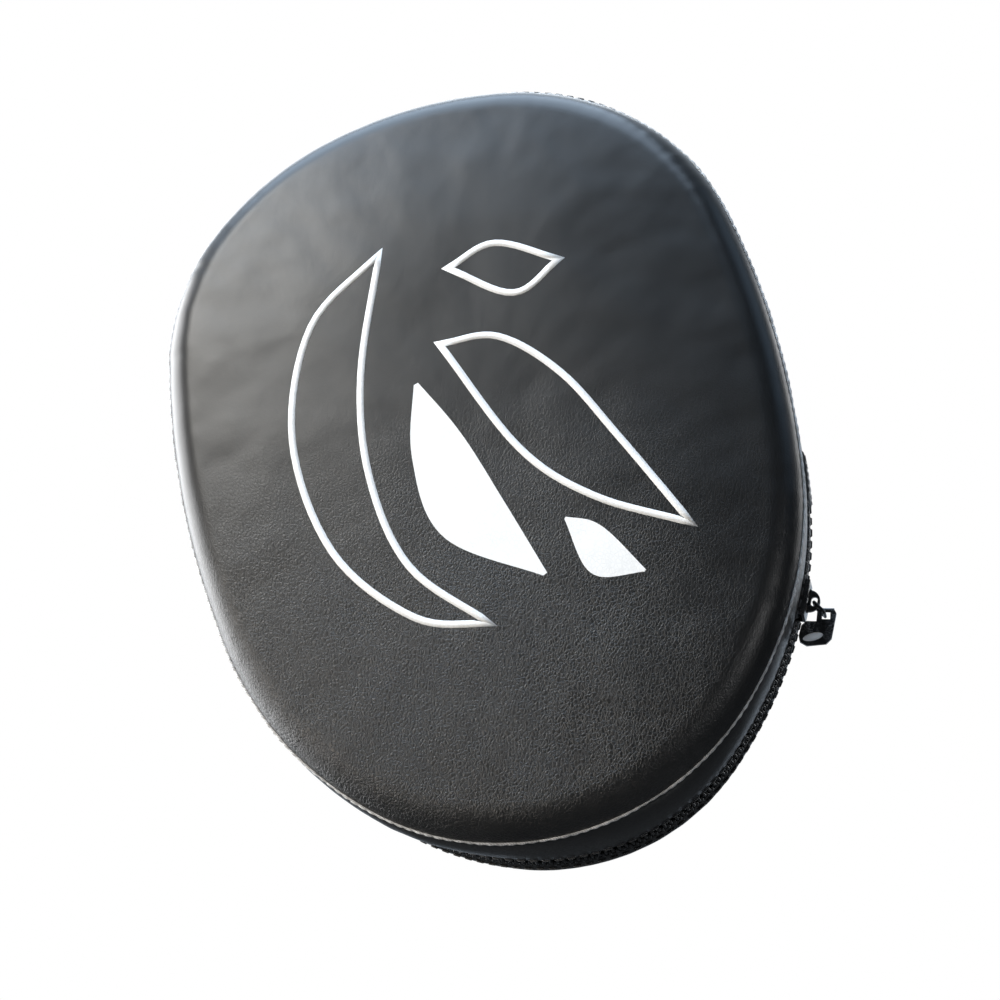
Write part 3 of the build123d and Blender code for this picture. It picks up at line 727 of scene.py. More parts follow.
def face_y(d):
    """Depth of the face at distance d inside its outline: rolled edge and a low crown."""
    into_roll = ROLL_WIDTH - np.minimum(d, ROLL_WIDTH)
    roll = ROLL_R - np.sqrt(np.clip(ROLL_R ** 2 - into_roll ** 2, 0, None))
    roll = np.where(np.less(d, ROLL_WIDTH), roll, 0.0)
    return roll - CROWN * (1 - (1 - np.clip(np.divide(d, 74.0), 0, 1)) ** 2.1)


def face_dents(x, z):
    """Slow unevenness of leather over foam."""
    return (0.20 * unevenness(x, 0.0, z, size=34.0, seed=3.1)
            + 0.10 * unevenness(x, 0.0, z, size=13.0, seed=7.7))


def on_face(x, z, lift=0.0):
    return front_pt(x, face_y(edge_distance(x, z)) + face_dents(x, z) - lift, z)


def front_cover():
    # the edge turns under into the seam: (offset, depth past the seam)
    g = [face_ring(RING, off, SEAM_Y + dy) for off, dy in ((-1.5, 0.55), (-0.75, 0.35), (-0.2, 0.12))]
    depths = (0.0, 0.35, 0.8, 1.3, 1.9, 2.6, 3.4, 4.2, 5.1, 6.0, 7.0, 8.0, 9.0, 10.2, 11.6, 13.2,
              15, 17, 19.5, 22, 25, 28, 31, 34, 37.5, 41, 45, 49, 53)
    pucker = ruffle(RING, 22, 4.0)
    for d in depths:
        x, z = face_pts(RING, -d).T
        y = face_y(d) + face_dents(x, z) * min(1.0, d / 12.0)
        g.append(front_pt(x, y + 0.16 * pucker * math.exp(-((d - 2.0) / 5.0) ** 2), z))
    inner = face_pts(RING, -depths[-1])
    for s in (0.9, 0.8, 0.7, 0.6, 0.5, 0.4, 0.3, 0.2, 0.1):
        x, z = (inner * s + np.array([0.0, FACE_MID_Z]) * (1 - s)).T
        g.append(on_face(x, z))
    piece = Piece()
    piece.grid(np.stack(g), close_u=True)
    centre = front_pt(0.0, face_y(90.0) + face_dents(0.0, FACE_MID_Z), FACE_MID_Z)
    piece.fan((len(g) - 1) * RING_N, RING_N, centre)
    thicken(piece.make("front_cover_leather", ["face"], "black_leather", "front_cover"), 1.2)


front_cover()

# ---------------------------------------------------------------- print on the face
# Outlined shapes: each is a closed chain of curves through (x, z) points
PRINT_LOOPS = (
    (((-16, 70), (-42, 52), (-55, 16), (-50, -24), (-30, -52), (-8, -61)),
     ((-8, -61), (-28, -36), (-34, -4), (-30, 30), (-16, 70))),
    (((-4, 33), (14, 30), (30, 12), (42, -14), (56, -47)),
     ((56, -47), (30, -30), (12, -8), (-4, 33))),
    (((4, 58), (20, 62), (38, 50)),
     ((38, 50), (22, 43), (4, 58))),
)
# Filled shapes: the two curves that bound each
PRINT_SLIVERS = (
    (((-14, 24), (-4, 2), (4, -24), (12, -52)), ((12, -52), (-16, -30), (-20, -2), (-14, 24))),
    (((20, -34), (30, -40), (40, -58)), ((40, -58), (24, -54), (20, -34))),
)
LINE = 2.2
INK_LOW, INK_TOP = -0.12, 0.07      # lift of the ink's bottom and top off the leather
TIP_CLEAR = 3.4                     # points nearer than this to a tip would crowd it


def spline(knots, count):
    """A smooth curve through knots, count points per span."""
    k = np.array(knots, float)
    k = np.vstack([2 * k[0] - k[1], k, 2 * k[-1] - k[-2]])
    out = []
    for a, b, c, d in zip(k, k[1:], k[2:], k[3:]):
        for t in np.arange(count) / count:
            out.append(0.5 * (2 * b + (c - a) * t + (2 * a - 5 * b + 4 * c - d) * t * t
                              + (3 * b - a - 3 * c + d) * t ** 3))
    return np.array(out + [k[-2]])


def shifted(path, distance):
    """A closed path moved sideways with limited mitres."""
    step = path - np.roll(path, 1, 0)
    before = np.stack([step[:, 1], -step[:, 0]], -1) / np.hypot(*step.T)[:, None]
    after = np.roll(before, -1, 0)
    mitre = np.maximum(0.3, 1 + (before * after).sum(1))[:, None]
    return path + (before + after) * distance / mitre


def front_print():
    piece = Piece()
    for curves in PRINT_LOOPS:
        path, tips = [], []
        for curve in curves:
            tips.append(len(path))
            path.extend(spline(curve, 8)[:-1])
        kept = np.array([q for i, q in enumerate(path) if i in tips
                         or min(math.dist(q, path[tip]) for tip in tips) > TIP_CLEAR])
        a, b = shifted(kept, LINE / 2), shifted(kept, -LINE / 2)
        edges = ((a, INK_LOW), (a, INK_TOP), (b, INK_TOP), (b, INK_LOW))
        piece.grid(np.stack([on_face(*q.T, lift) for q, lift in edges]), close_u=True, close_v=True)
    for curves in PRINT_SLIVERS:
        a, b = (resample(spline(curve, 12), 40) for curve in curves)
        w = np.linspace(0, 1, 13)[:, None, None]
        q = (a[None] * (1 - w) + b[::-1][None] * w)[:, 1:-1]
        piece.slab(*(on_face(q[..., 0], q[..., 1], lift) for lift in (INK_TOP, INK_LOW)))
    piece.make("front_print_ink", ["ink"], "white_print", "front_print")


front_print()

# ---------------------------------------------------------------- side walls and seams
WALL_EDGE_V = ZIP_EDGE + 0.5
# The leather's folded lip beside the zip: (offset, depth from the zip's centre line)
ZIP_LIP = ((0.16, 4.72), (-0.02, 4.52), (-0.45, 4.45), (-1.15, 4.5))


def side_wall(name, node, lead, start, end, tail, swell, skew, ruffles):
    """A stuffed wall from ring start to ring end, between turned-in lead and tail rings.

    swell is the height of its bulge; skew below 1 moves the bulge towards the start.
    """
    rows = list(lead)
    for k in np.linspace(0, 1, 13):
        bulge = swell * math.sin(math.pi * k ** skew) ** 0.8 + 0.1 * ruffles * math.sin(math.pi * k)
        rows.append(start * (1 - k) + end * k + RING_OUT * bulge[:, None] / 1000)
    piece = Piece()
    piece.grid(np.stack(rows + list(tail)), close_u=True)
    thicken(piece.make(name, ["wall"], "black_leather", node), 0.9)


def front_wall():
    top = SEAM_Y + 0.45
    turn = RING % 360
    side_wall(
        "front_gusset_leather", "front_gusset",
        lead=[face_ring(RING, off, top + dy) for off, dy in ((-1.6, 0.15), (-0.8, 0.2))],
        start=face_ring(RING, -0.15, top),
        end=belt_ring(RING, 0.1, -WALL_EDGE_V),
        tail=[belt_ring(RING, off, -v) for off, v in ZIP_LIP],
        # swells more at the wrist end
        swell=(0.5 + 1.3 * np.exp(-((turn - 158) / 30.0) ** 2)
               + 1.5 * np.exp(-((turn - 222) / 24.0) ** 2)),
        skew=0.85, ruffles=ruffle(RING, 16, 9.0))


def rear_wall():
    from_wrist = np.abs((RING + 180) % 360 - 180) - 180
    side_wall(
        "rear_gusset_leather", "rear_gusset",
        lead=[belt_ring(RING, off, v) for off, v in reversed(ZIP_LIP)],
        start=belt_ring(RING, 0.1, WALL_EDGE_V),
        end=belt_ring(RING, -1.5, 12.75),
        tail=[belt_ring(RING, -2.6, 12.9)],
        swell=0.8 + 0.4 * np.exp(-(from_wrist / 40.0) ** 2),
        skew=1, ruffles=ruffle(RING, 17, 21.0))


def seam_cord(name, path, ups, radius, thread_name, node, seed):
    """Seam thread lying in a crease, swelling a little at each stitch."""
    count = 1400
    path = resample(path, count, closed=True)
    up = resample(ups, count, closed=True)
    i = np.arange(count)
    wobble = np.array([noise.noise(Vector((k * 0.045, seed, 0))) for k in i])
    beat = 0.5 + 0.5 * np.cos(i / count * 2 * math.pi * round(FACE_LEN / 3.1))
    path = path + unit(up) * ((0.10 * wobble + 0.10 * beat)[:, None] / 1000)
    piece = Piece()
    piece.sweep(path, up, circle(radius), closed=True,
                scale=0.70 + 0.30 * beat ** 0.5 + 0.28 * wobble)
    piece.make(name, [thread_name], thread_name, node)


front_wall()
rear_wall()
seam_cord("front_seam_stitching", face_ring(RING, 0.05, SEAM_Y + 0.22),
          RING_OUT * 0.9 + np.array([0, -0.2, 0]), 0.52, "grey_thread", "front_seam_thread", 2.0)
seam_cord("rear_seam_stitching", belt_ring(RING, -1.45, 12.95),
          RING_OUT, 0.36, "black_thread", "rear_seam_thread", 5.0)

# ---------------------------------------------------------------- zip
STITCH_SPAN = (99.3, 440.9)     # start and end angles round the belt
TAPE_SPAN = (98.9, 441.2)
COIL_SPAN = (101.7, 437.0)
TOOTH_PITCH = 2.1
HINGE_SPAN = (81.25, 98.85)     # plain wall where there is no zip
# Tape section: (offset, depth from the centre line)
TAPE_SECTION = ((-1.3, 0.55), (-1.22, 1.6), (-1.22, 3.0), (-1.25, 4.4), (-1.3, 5.6), (-1.85, 5.6),
                (-1.85, 3.0), (-1.85, 0.55))
HINGE_SECTION = ((-1.1, -4.45), (-0.1, -4.3), (0.25, -3.8), (0.42, -2.4), (0.5, 0.0), (0.42, 2.4),
                 (0.25, 3.8), (-0.1, 4.3), (-1.1, 4.45), (-1.1, 0.0))
# One coil turn from root to head: half width along the zip, half height, middle's offset
TOOTH = ((0.18, 0.25, -0.65), (0.46, 0.78, -0.42), (0.50, 0.92, -0.30), (0.50, 0.98, -0.24),
         (0.54, 1.0, -0.22), (0.58, 0.92, -0.24), (0.22, 0.40, -0.3))


def zip_topstitches():
    angles, _ = even_angles(BELT, 900, *STITCH_SPAN)
    for side, where in SIDES:
        piece = Piece()
        piece.stitch(belt_ring(angles, 0.32, side * 6.1), outward(angles), 2.9, 0.8, 0.3,
                     seed=3 + side, lift=0.16)
        piece.make(f"zip_topstitch_{where}", ["black_thread"], "black_thread")


def zip_tapes():
    angles, _ = even_angles(BELT, 700, *TAPE_SPAN)
    for side, where in SIDES:
        piece = Piece()
        g = np.stack([belt_ring(angles, off, side * v) for off, v in TAPE_SECTION])
        piece.grid(g, close_v=True)
        piece.make(f"zipper_tape_{where}_woven", ["tape"], "zip_tape", f"zipper_tape_{where}")


def tooth(piece, angle, side):
    """A coil filament from its root on the tape to a flat head past the centre line."""
    t = math.radians(angle)
    out, along = np.array([math.sin(t), math.cos(t)]), np.array([math.cos(t), -math.sin(t)])
    origin = belt_pts([angle], 0.0)[0]
    k = np.linspace(0, 2 * math.pi, 8, endpoint=False)
    g = []
    for w, (half_width, half_height, middle) in zip(np.linspace(-1, 1, 7), TOOTH):
        high = middle + half_height * np.sin(k)
        wide = half_width * np.cos(k) + 0.12 * side * w
        xz = origin + high[:, None] * out + wide[:, None] * along
        g.append(lay(xz, side * (1.45 - w * 1.75)))
    piece.grid(np.stack(g), close_u=True, caps=True)


def zip_coils():
    start, end = COIL_SPAN
    _, length = even_angles(BELT, 10, start, end)
    teeth = int(length / TOOTH_PITCH)
    angles, _ = even_angles(BELT, 2 * teeth + 1, start + 0.3, end - 0.3)
    for side, where in SIDES:
        piece = Piece()
        for i in range(teeth):
            tooth(piece, angles[2 * i + (0 if side < 0 else 1)], side)
        # the lockstitch that holds the coil to its tape
        piece.sweep(belt_ring(angles, -0.95, side * 3.25), outward(angles), circle(0.28, 6), mat=1)
        piece.make(f"zipper_coil_{where}_teeth", ["coil", "black_thread"], "zip_coil",
                   f"zipper_coil_{where}")


def hinge_wall():
    angles, _ = even_angles(BELT, 90, *HINGE_SPAN)
    uneven = 0.06 * ruffle(angles, 60, 3.0)
    piece = Piece()
    g = np.stack([belt_ring(angles, off + uneven, v) for off, v in HINGE_SECTION])
    piece.grid(g, close_v=True, flip=True)
    piece.make("hinge_wall_leather", ["wall"], "black_leather", "hinge_wall")


def zip_end_patch(node, start, end):
    """A small leather patch lapped over an end of the zip, with a stitched border."""
    half = 6.9
    angles, _ = even_angles(BELT, 22, start, end)
    across = np.linspace(-1, 1, 22)
    top, bottom = [], []
    for v in np.linspace(-half, half, 17):
        raised = (1 - abs(v / half) ** 8) * (1 - np.abs(across) ** 8)
        raised = np.clip(raised, 0, 1) ** 0.25
        top.append(belt_ring(angles, -0.25 + 1.45 * raised + 0.1 * np.cos(across * 1.5), v))
        bottom.append(belt_ring(angles, -0.35, v))
    piece = Piece()
    piece.slab(np.stack(top), np.stack(bottom))
    border = np.dstack(np.meshgrid(np.linspace(-0.78, 0.78, 14), np.linspace(-5.6, 5.6, 14)))
    u, v = rim(border).T
    at = np.interp(u, across, angles)
    piece.stitch(belt_ring(at, 1.10, v), outward(at), 1.9, 0.6, 0.17, seed=11, lift=0.02,
                 closed=True, mat=1)
    piece.make(node + "_leather", ["wall", "black_thread"], "black_leather", node)


zip_topstitches()
zip_tapes()
zip_coils()
hinge_wall()
zip_end_patch("zip_end_tab_lower", 97.2, 101.9)
zip_end_patch("zip_end_tab_upper", 438.2, 442.1)

# ---------------------------------------------------------------- parts kept as drawn
# node, material, bevel width or None, bevel segments
KEPT_PARTS = (
    ("zipper_slider", "metal", 0.16, 2),
    ("zipper_pull_link", "metal", None, None),
    ("zipper_pull_tab", "metal", 0.28, 3),
    ("pull_tab_inset", "inset", 0.1, 2),
    ("zipper_stop_lower", "metal", 0.2, 2),
    ("zipper_stop_upper", "metal", 0.2, 2),
    ("strike_foam", "foam_dense", None, None),
    ("core_foam", "foam_soft", None, None),
    ("backing_board", "board", None, None),
    ("palm_foam", "foam_soft", None, None),
)


def finish_kept(node, mat, width, segments):
    """Gives a CAD node its material, smooth shading and, if asked, a small rounded edge."""
    ob = NODES[node]
    ob.data.materials.clear()
    ob.data.materials.append(MATS[mat])
    for poly in ob.data.polygons:
        poly.use_smooth = True
    if width:
        ob.modifiers.new("weld", "WELD").merge_threshold = 1e-6
        bevel = ob.modifiers.new("edge", "BEVEL")
        bevel.width, bevel.segments = width / 1000, segments
        bevel.limit_method, bevel.angle_limit = "ANGLE", math.radians(35)
        bevel.harden_normals = True
        bevel.use_clamp_overlap = True


for part in KEPT_PARTS:
    finish_kept(*part)

# ---------------------------------------------------------------- rear panel
REAR_ROLL_R = 5.0       # rolled edge of the rear panel
# The edge turned into the rear seam: (offset, v)
REAR_TUCK = ((-2.9, 12.95), (-2.1, 12.75), (-1.5, 12.8), (-1.25, 13.05), (-1.22, 13.4))


def rear_surface(path, share=1.0):
    """The rear panel's slightly uneven surface over an (x, z) path."""
    x, z = path.T
    return lay(path, REAR_V + 0.16 * unevenness(x, 60.0, z, size=30.0, seed=5.5) * share)


def rear_cover():
    g = [belt_ring(RING, off, v) for off, v in REAR_TUCK]
    uneven = 0.10 * ruffle(RING, 18, 31.0)
    for deg in (8, 16, 25, 35, 45, 55, 65, 75, 84, 90):
        t = math.radians(deg)
        v = max(REAR_V - REAR_ROLL_R + REAR_ROLL_R * math.sin(t), 13.4 + 0.02 * deg)
        g.append(belt_ring(RING, -6.2 + REAR_ROLL_R * math.cos(t), v + uneven))
    depths = (7.5, 9, 11, 14, 18, 23, 29, 36, 44, 52)
    for d in depths:
        g.append(rear_surface(belt_pts(RING, -d), min(1, (d - 6) / 10)))
    inner = belt_pts(RING, -depths[-1])
    for s in (0.86, 0.72, 0.58, 0.44, 0.3, 0.16):
        g.append(rear_surface(inner * s))
    piece = Piece()
    piece.grid(np.stack(g), close_u=True)
    piece.fan((len(g) - 1) * RING_N, RING_N, rear_pt(0.0, REAR_V, 0.0))
    thicken(piece.make("rear_cover_leather", ["back"], "black_leather", "rear_cover"), 1.2)

    piece = Piece()
    piece.stitch(rear_surface(belt_pts(RING, -10.5), 0.45), REAR_OUT, 3.3, 1.0, 0.33, seed=21,
                 closed=True)
    piece.make("rear_border_stitching", ["black_thread"], "black_thread")


rear_cover()

# ---------------------------------------------------------------- finger hood
HOOD_X, HOOD_V = 2.0, -1.6          # axis of the arch
HOOD_Z0, HOOD_Z1 = 14.0, 100.0      # mouth and closed end
HOOD_R = 49.6
HOOD_LEG = FOOT - HOOD_V
HOOD_RISE = HOOD_R - HOOD_LEG
SEAM_SHARE = 0.46                   # panel seams, as a share of the half width
CROSS_Z = 84.0                      # cross seam of the middle panel
VENTS = [(side * 9.0, z) for z in (70.0, 54.0) for side in (-1, 1)]     # arch angle, z
VENT_R = 2.45
# Eyelet section: (radius, height above the leather)
EYELET = ((1.95, -2.2), (1.95, 0.25), (2.05, 0.5), (2.35, 0.72), (2.9, 0.74), (3.5, 0.55),
          (3.85, 0.2), (3.9, -0.1), (3.3, -0.05), (2.4, -0.1), (2.4, -2.2))


def hood_radius(z):
    t = np.clip((z - HOOD_Z0) / (HOOD_Z1 - HOOD_Z0), 0, 1)
    return HOOD_LEG + HOOD_RISE * np.sqrt(np.clip(1 - t ** 4.6, 0, 1))


def hood_half(z):
    """Half width of the hood's foot."""
    return np.sqrt(np.clip(hood_radius(z) ** 2 - HOOD_LEG ** 2, 0, None))


def hood_v(x, z):
    """Depth of the hood: an arch whose panels puff up between their seams."""
    radius = hood_radius(z)
    dx = np.clip(np.abs(x - HOOD_X), 0, radius)
    base = np.maximum(HOOD_V + np.sqrt(np.clip(radius ** 2 - dx ** 2, 0, None)), FOOT)
    share = np.abs(np.clip((x - HOOD_X) / np.maximum(hood_half(z), 1e-3), -1, 1))
    middle = share < SEAM_SHARE
    u = np.where(middle, share / SEAM_SHARE,
                 np.abs(share - (1 + SEAM_SHARE) / 2) / ((1 - SEAM_SHARE) / 2))
    bulge = (1 - np.clip(u, 0, 1) ** 2) ** 0.62
    puff = np.where(middle, 1.9, 2.2)
    cross = 1 - 0.9 * np.exp(-((z - CROSS_Z) / 2.0) ** 2) * middle
    fade = np.clip((z - HOOD_Z0) / 9.0, 0, 1) ** 0.7 * np.clip((HOOD_Z1 - z) / 7.0, 0, 1) ** 0.7
    wrinkles = 0.35 * unevenness(x, 0.0, z, size=15.0, seed=12.0)
    return base + puff * bulge * cross * fade - 0.55 * fade * (1 - bulge) + wrinkles * fade * bulge


def hood_foot_line():
    """The hood's U-shaped foot as (x, z), exactly symmetrical about HOOD_X."""
    length, tail = HOOD_Z1 - HOOD_Z0, 0.93
    t = np.sin(np.linspace(math.asin(tail ** 2.3), math.pi / 2, 22)[1:]) ** (1 / 2.3)
    z = np.concatenate([np.linspace(0, tail, 46), t]) * length + HOOD_Z0
    left = np.stack([HOOD_X - hood_half(z), z], -1)
    right = np.stack([HOOD_X + hood_half(z), z], -1)[:-1][::-1]
    line = resample(np.vstack([left, right]), 151)
    return (line + np.stack([2 * HOOD_X - line[::-1, 0], line[::-1, 1]], -1)) / 2


def hood_vents(hood):
    """Cuts the vent holes and sets an eyelet in each."""
    cut, eyelets = Piece(), Piece()
    k = np.linspace(0, 2 * math.pi, 32, endpoint=False)[:, None]
    for deg, z in VENTS:
        sin, cos = math.sin(math.radians(deg)), math.cos(math.radians(deg))
        x = HOOD_X + HOOD_R * sin
        centre = rear_pt(x, float(hood_v(x, z)), z)
        out = unit(rear_dir(sin, cos, 0))
        plane = np.cos(k) * unit(rear_dir(cos, -sin, 0)) + np.sin(k) * unit(rear_dir(0, 0, 1))
        cut.grid(np.stack([centre + out * h / 1000 + plane * VENT_R / 1000 for h in (-6, 5)]),
                 close_u=True, caps=True)
        eyelets.grid(np.stack([centre + out * h / 1000 + plane * r / 1000 for r, h in EYELET]),
                     close_u=True, close_v=True)
    cutter = cut.make("hood_cutter", body=None)
    hole = hood.modifiers.new("vents", "BOOLEAN")
    hole.operation, hole.solver, hole.object = "DIFFERENCE", "EXACT", cutter
    bake_modifiers(hood)
    bpy.data.objects.remove(cutter, do_unlink=True)
    eyelets.make("hood_vent_eyelets", ["metal"], "eyelet_metal", "hood_eyelets")


def finger_hood():
    foot = hood_foot_line()
    spine = np.stack([np.full(len(foot), HOOD_X), HOOD_Z0 + (foot[:, 1] - HOOD_Z0) * 0.74], -1)
    g = []
    for w in np.concatenate([[0.0, 0.004, 0.012, 0.026], np.linspace(0.045, 1.0, 34)]):
        q = foot * (1 - w) + spine * w
        g.append(lay(q, hood_v(*q.T) if w else FOOT_LOW))
    piece = Piece()
    piece.grid(np.stack(g))
    hood = piece.make("finger_hood_leather", ["hood"], "hood_leather", "finger_hood", orient=False)
    orient_faces(hood, weld=2e-5, outwards=True)
    thicken(hood, 1.6)
    bake_modifiers(hood)
    hood_vents(hood)

    piece = Piece()
    line, out = foot[1:-1], normals2(foot)[1:-1]
    piece.margin(line, out, -0.6, 5.2, 1.25)
    piece.stitch(lay(line + out * 2.9, FOOT + 1.05), REAR_OUT, 2.9, 0.9, 0.33, seed=31, mat=1)
    piece.make("hood_margin", ["hood", "black_thread"], "hood_leather")


def hood_seams():
    piece = Piece()
    for side in (-1, 1):
        z = np.linspace(19, 97, 80)
        for dx in (-1.15, 1.15):
            x = HOOD_X + side * SEAM_SHARE * hood_half(z) + dx
            piece.stitch(rear_pt(x, hood_v(x, z), z), rear_dir(side * 0.45, 0.9, 0), 2.7, 0.9, 0.28,
                         seed=40 + side)
    x = np.linspace(-0.94, 0.94, 40) * SEAM_SHARE * hood_half(CROSS_Z) + HOOD_X
    for dz in (-1.3, 1.3):
        z = np.full(40, CROSS_Z + dz)
        piece.stitch(rear_pt(x, hood_v(x, z), z), REAR_OUT, 2.7, 0.9, 0.28, seed=44)
    piece.make("hood_seam_stitching", ["black_thread"], "black_thread")


def hood_mouth():
    t = np.radians(np.linspace(-66.8, 66.8, 90))
    ups = rear_dir(np.sin(t), np.cos(t), 0)

    def arch(radius, z):
        return rear_pt(HOOD_X + radius * np.sin(t), HOOD_V + radius * np.cos(t), z)

    radius = HOOD_R - 0.75
    piece = Piece()
    piece.sweep(arch(radius, 12.2), ups, round_rect(6.0, 3.6, 1.6))
    piece.stitch(arch(radius + 1.72, HOOD_Z0), ups, 2.7, 0.9, 0.3, seed=51, lift=0.02, mat=1)
    piece.make("hood_mouth_binding", ["binding", "black_thread"], "edge_binding", "hood_binding")


finger_hood()
hood_seams()
hood_mouth()

# ---------------------------------------------------------------- thumb sleeve
THUMB_X, THUMB_Z = -54.0, -36.0     # sleeve's origin on the rear panel
THUMB_TURN = math.radians(-25.0)    # about the depth axis
THUMB_R = 17.0
THUMB_V = 25.0                      # axis of the arch
THUMB_LEG = THUMB_V - FOOT
THUMB_N = 49                        # points across the arch
THUMB_BEND = 22.0                   # z where the closed end begins


def thumb_dir(x, v, z):
    """A direction of the sleeve's own frame."""
    sin, cos = math.sin(THUMB_TURN), math.cos(THUMB_TURN)
    return rear_dir(x * cos + z * sin, v, -x * sin + z * cos)


def thumb_xz(x, z):
    """Sleeve x and z to rear-frame x and z."""
    sin, cos = math.sin(THUMB_TURN), math.cos(THUMB_TURN)
    return THUMB_X + x * cos + z * sin, THUMB_Z - x * sin + z * cos


def thumb_pt(x, v, z):
    x, z = thumb_xz(x, z)
    return rear_pt(x, v, z)


def thumb_arch(radius, count):
    """Leg, arch, leg: x, v and normal (x, v), with distance from the top as a 0..1 share."""
    length = 2 * THUMB_LEG + math.pi * radius
    s = np.linspace(0, length, count)
    t = np.clip((s - THUMB_LEG) / radius - math.pi / 2, -math.pi / 2, math.pi / 2)
    from_top = np.abs(s - length / 2)
    drop = np.maximum(0, from_top - math.pi * radius / 2)
    nx, nv = np.sin(t), np.cos(t)
    return radius * nx, THUMB_V + radius * nv - drop, nx, nv, from_top / (length / 2)


def thumb_section(scale, z):
    puff = min(1.0, max(0.0, (z + 1) / 6.0)) * (1 if scale > 0.4 else scale / 0.4)
    x, v, nx, nv, share = thumb_arch(THUMB_R, THUMB_N)
    seam = 0.04     # half width of the centre seam's groove
    bulge = (1 - np.clip(np.abs((share - 0.52) / 0.48), 0, 1) ** 2) ** 0.6
    out = puff * np.where(share > seam, 1.5 * bulge - 0.35, -0.35)
    x, v = x + nx * out, v + nv * out
    wrinkle = 0.22 * puff * unevenness(*(thumb_pt(x, v, z) * 1000).T, size=11.0, seed=3.3)
    x, v = (x + nx * wrinkle) * scale, FOOT + (v + nv * wrinkle - FOOT) * scale
    v[0] = v[-1] = FOOT_LOW
    return thumb_pt(x, v, z)


def thumb_sleeve():
    t = np.linspace(0, math.radians(87), 22)[1:]
    scales = np.concatenate([np.ones(22), np.cos(t)])
    z = np.concatenate([np.linspace(-1.0, THUMB_BEND, 22), THUMB_BEND + 17.5 * np.sin(t) ** 0.8])
    g = np.stack([thumb_section(*at) for at in zip(scales, z)])
    piece = Piece()
    piece.grid(g)
    piece.fan((len(g) - 1) * THUMB_N, THUMB_N, g[-1].mean(0), closed=False)
    ob = piece.make("thumb_sleeve_leather", ["hood"], "hood_leather", "thumb_sleeve", orient=False)
    orient_faces(ob, outwards=True)
    thicken(ob, 1.5)

    # sewn margin round the foot
    x = THUMB_R * scales
    foot = resample(np.vstack([np.stack([-x, z], -1), np.stack([x, z], -1)[::-1]]), 90)
    foot = np.stack(thumb_xz(*foot.T), -1)
    out = normals2(foot)
    piece = Piece()
    piece.margin(foot, out, -0.8, 4.4, 1.15)
    piece.stitch(lay(foot + out * 2.5, FOOT + 0.95), REAR_OUT, 2.6, 0.9, 0.3, seed=61, mat=1)
    # centre seam over the thumb
    seam = g[2:38, THUMB_N // 2]
    ups = seam - thumb_pt(0, 22, z[2:38])
    for side in (-1, 1):
        shift = thumb_dir(1, 0, 0) * side * 1.3 / 1000 + REAR_OUT * 0.35 / 1000
        piece.stitch(seam + shift, ups, 2.6, 0.9, 0.26, seed=63 + side, mat=1)
    piece.make("thumb_margin", ["hood", "black_thread"], "hood_leather")


def thumb_mouth():
    x, v, nx, nv, _ = thumb_arch(16.3, 60)
    path, ups = thumb_pt(x, v, -2.0), thumb_dir(nx, nv, 0)
    piece = Piece()
    piece.sweep(path, ups, round_rect(5.4, 3.4, 1.5))
    piece.stitch(path + ups * 1.62 / 1000 + thumb_dir(0, 0, 1) * 1.4 / 1000, ups, 2.5, 0.85, 0.28,
                 seed=71, lift=0.02, mat=1)
    piece.make("thumb_mouth_binding", ["binding", "black_thread"], "edge_binding", "thumb_binding")


thumb_sleeve()
thumb_mouth()


# ---------------------------------------------------------------- stuffed pads
def coords(me, attr="co"):
    flat = np.empty(len(me.vertices) * 3)
    me.vertices.foreach_get(attr, flat)
    return flat.reshape(-1, 3)


def set_coords(me, co):
    me.vertices.foreach_set("co", co.ravel())


def simulate_pressure(ob):
    """Blows the object up with the cloth solver."""
    cloth = ob.modifiers.new("cloth", "CLOTH")
    settings = cloth.settings
    settings.quality = 6
    settings.mass = 0.3
    settings.tension_stiffness = settings.compression_stiffness = 18
    settings.bending_stiffness = 2.0
    settings.use_pressure = True
    settings.uniform_pressure_force = 4.0
    settings.effector_weights.gravity = 0.0
    cloth.collision_settings.use_collision = False
    first, last = 1, 20
    cloth.point_cache.frame_start, cloth.point_cache.frame_end = first, last
    for f in range(first, last + 1):
        SCENE.frame_set(f)
    bake_modifiers(ob)
    SCENE.frame_set(first)


def inflate(node, limit, voxel):
    """A CAD pad remeshed at voxel metres and swollen by at most limit, flat at its foot."""
    name = node + "_leather"
    me = NODES[node].data.copy()
    me.materials.clear()
    ob = bpy.data.objects.new(name, me)
    SCENE.collection.objects.link(ob)
    bm = bmesh.new()
    bm.from_mesh(me)
    bmesh.ops.remove_doubles(bm, verts=bm.verts, dist=1e-6)
    bm.to_mesh(me)
    bm.free()
    remesh = ob.modifiers.new("remesh", "REMESH")
    remesh.mode, remesh.voxel_size = "VOXEL", voxel
    bake_modifiers(ob)

    # start a little small, so that the swelling ends near the drawn size
    shrink = 0.8
    co = coords(ob.data)
    centre = (co.min(0) + co.max(0)) / 2
    half = (co.max(0) - co.min(0)) / 2
    co = centre + (co - centre) * (1 - shrink / 1000 / half)
    set_coords(ob.data, co)
    simulate_pressure(ob)
    move = coords(ob.data) - co
    length = np.linalg.norm(move, axis=1, keepdims=True)
    co = co + move * np.minimum(1.0, limit / 1000 / np.maximum(length, 1e-9))

    # nothing sinks into the rear panel
    floor_v = (REAR_V + 0.05) / 1000
    v = (co[:, 1] - BELT_Y / 1000) * CT + co[:, 2] * ST
    co += np.maximum(floor_v - v, 0)[:, None] * REAR_OUT
    set_coords(ob.data, co)
    ob.data.update()
    ob.data.materials.append(MATS["hood"])
    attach(ob, "pad")
    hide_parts(node)
    return ob


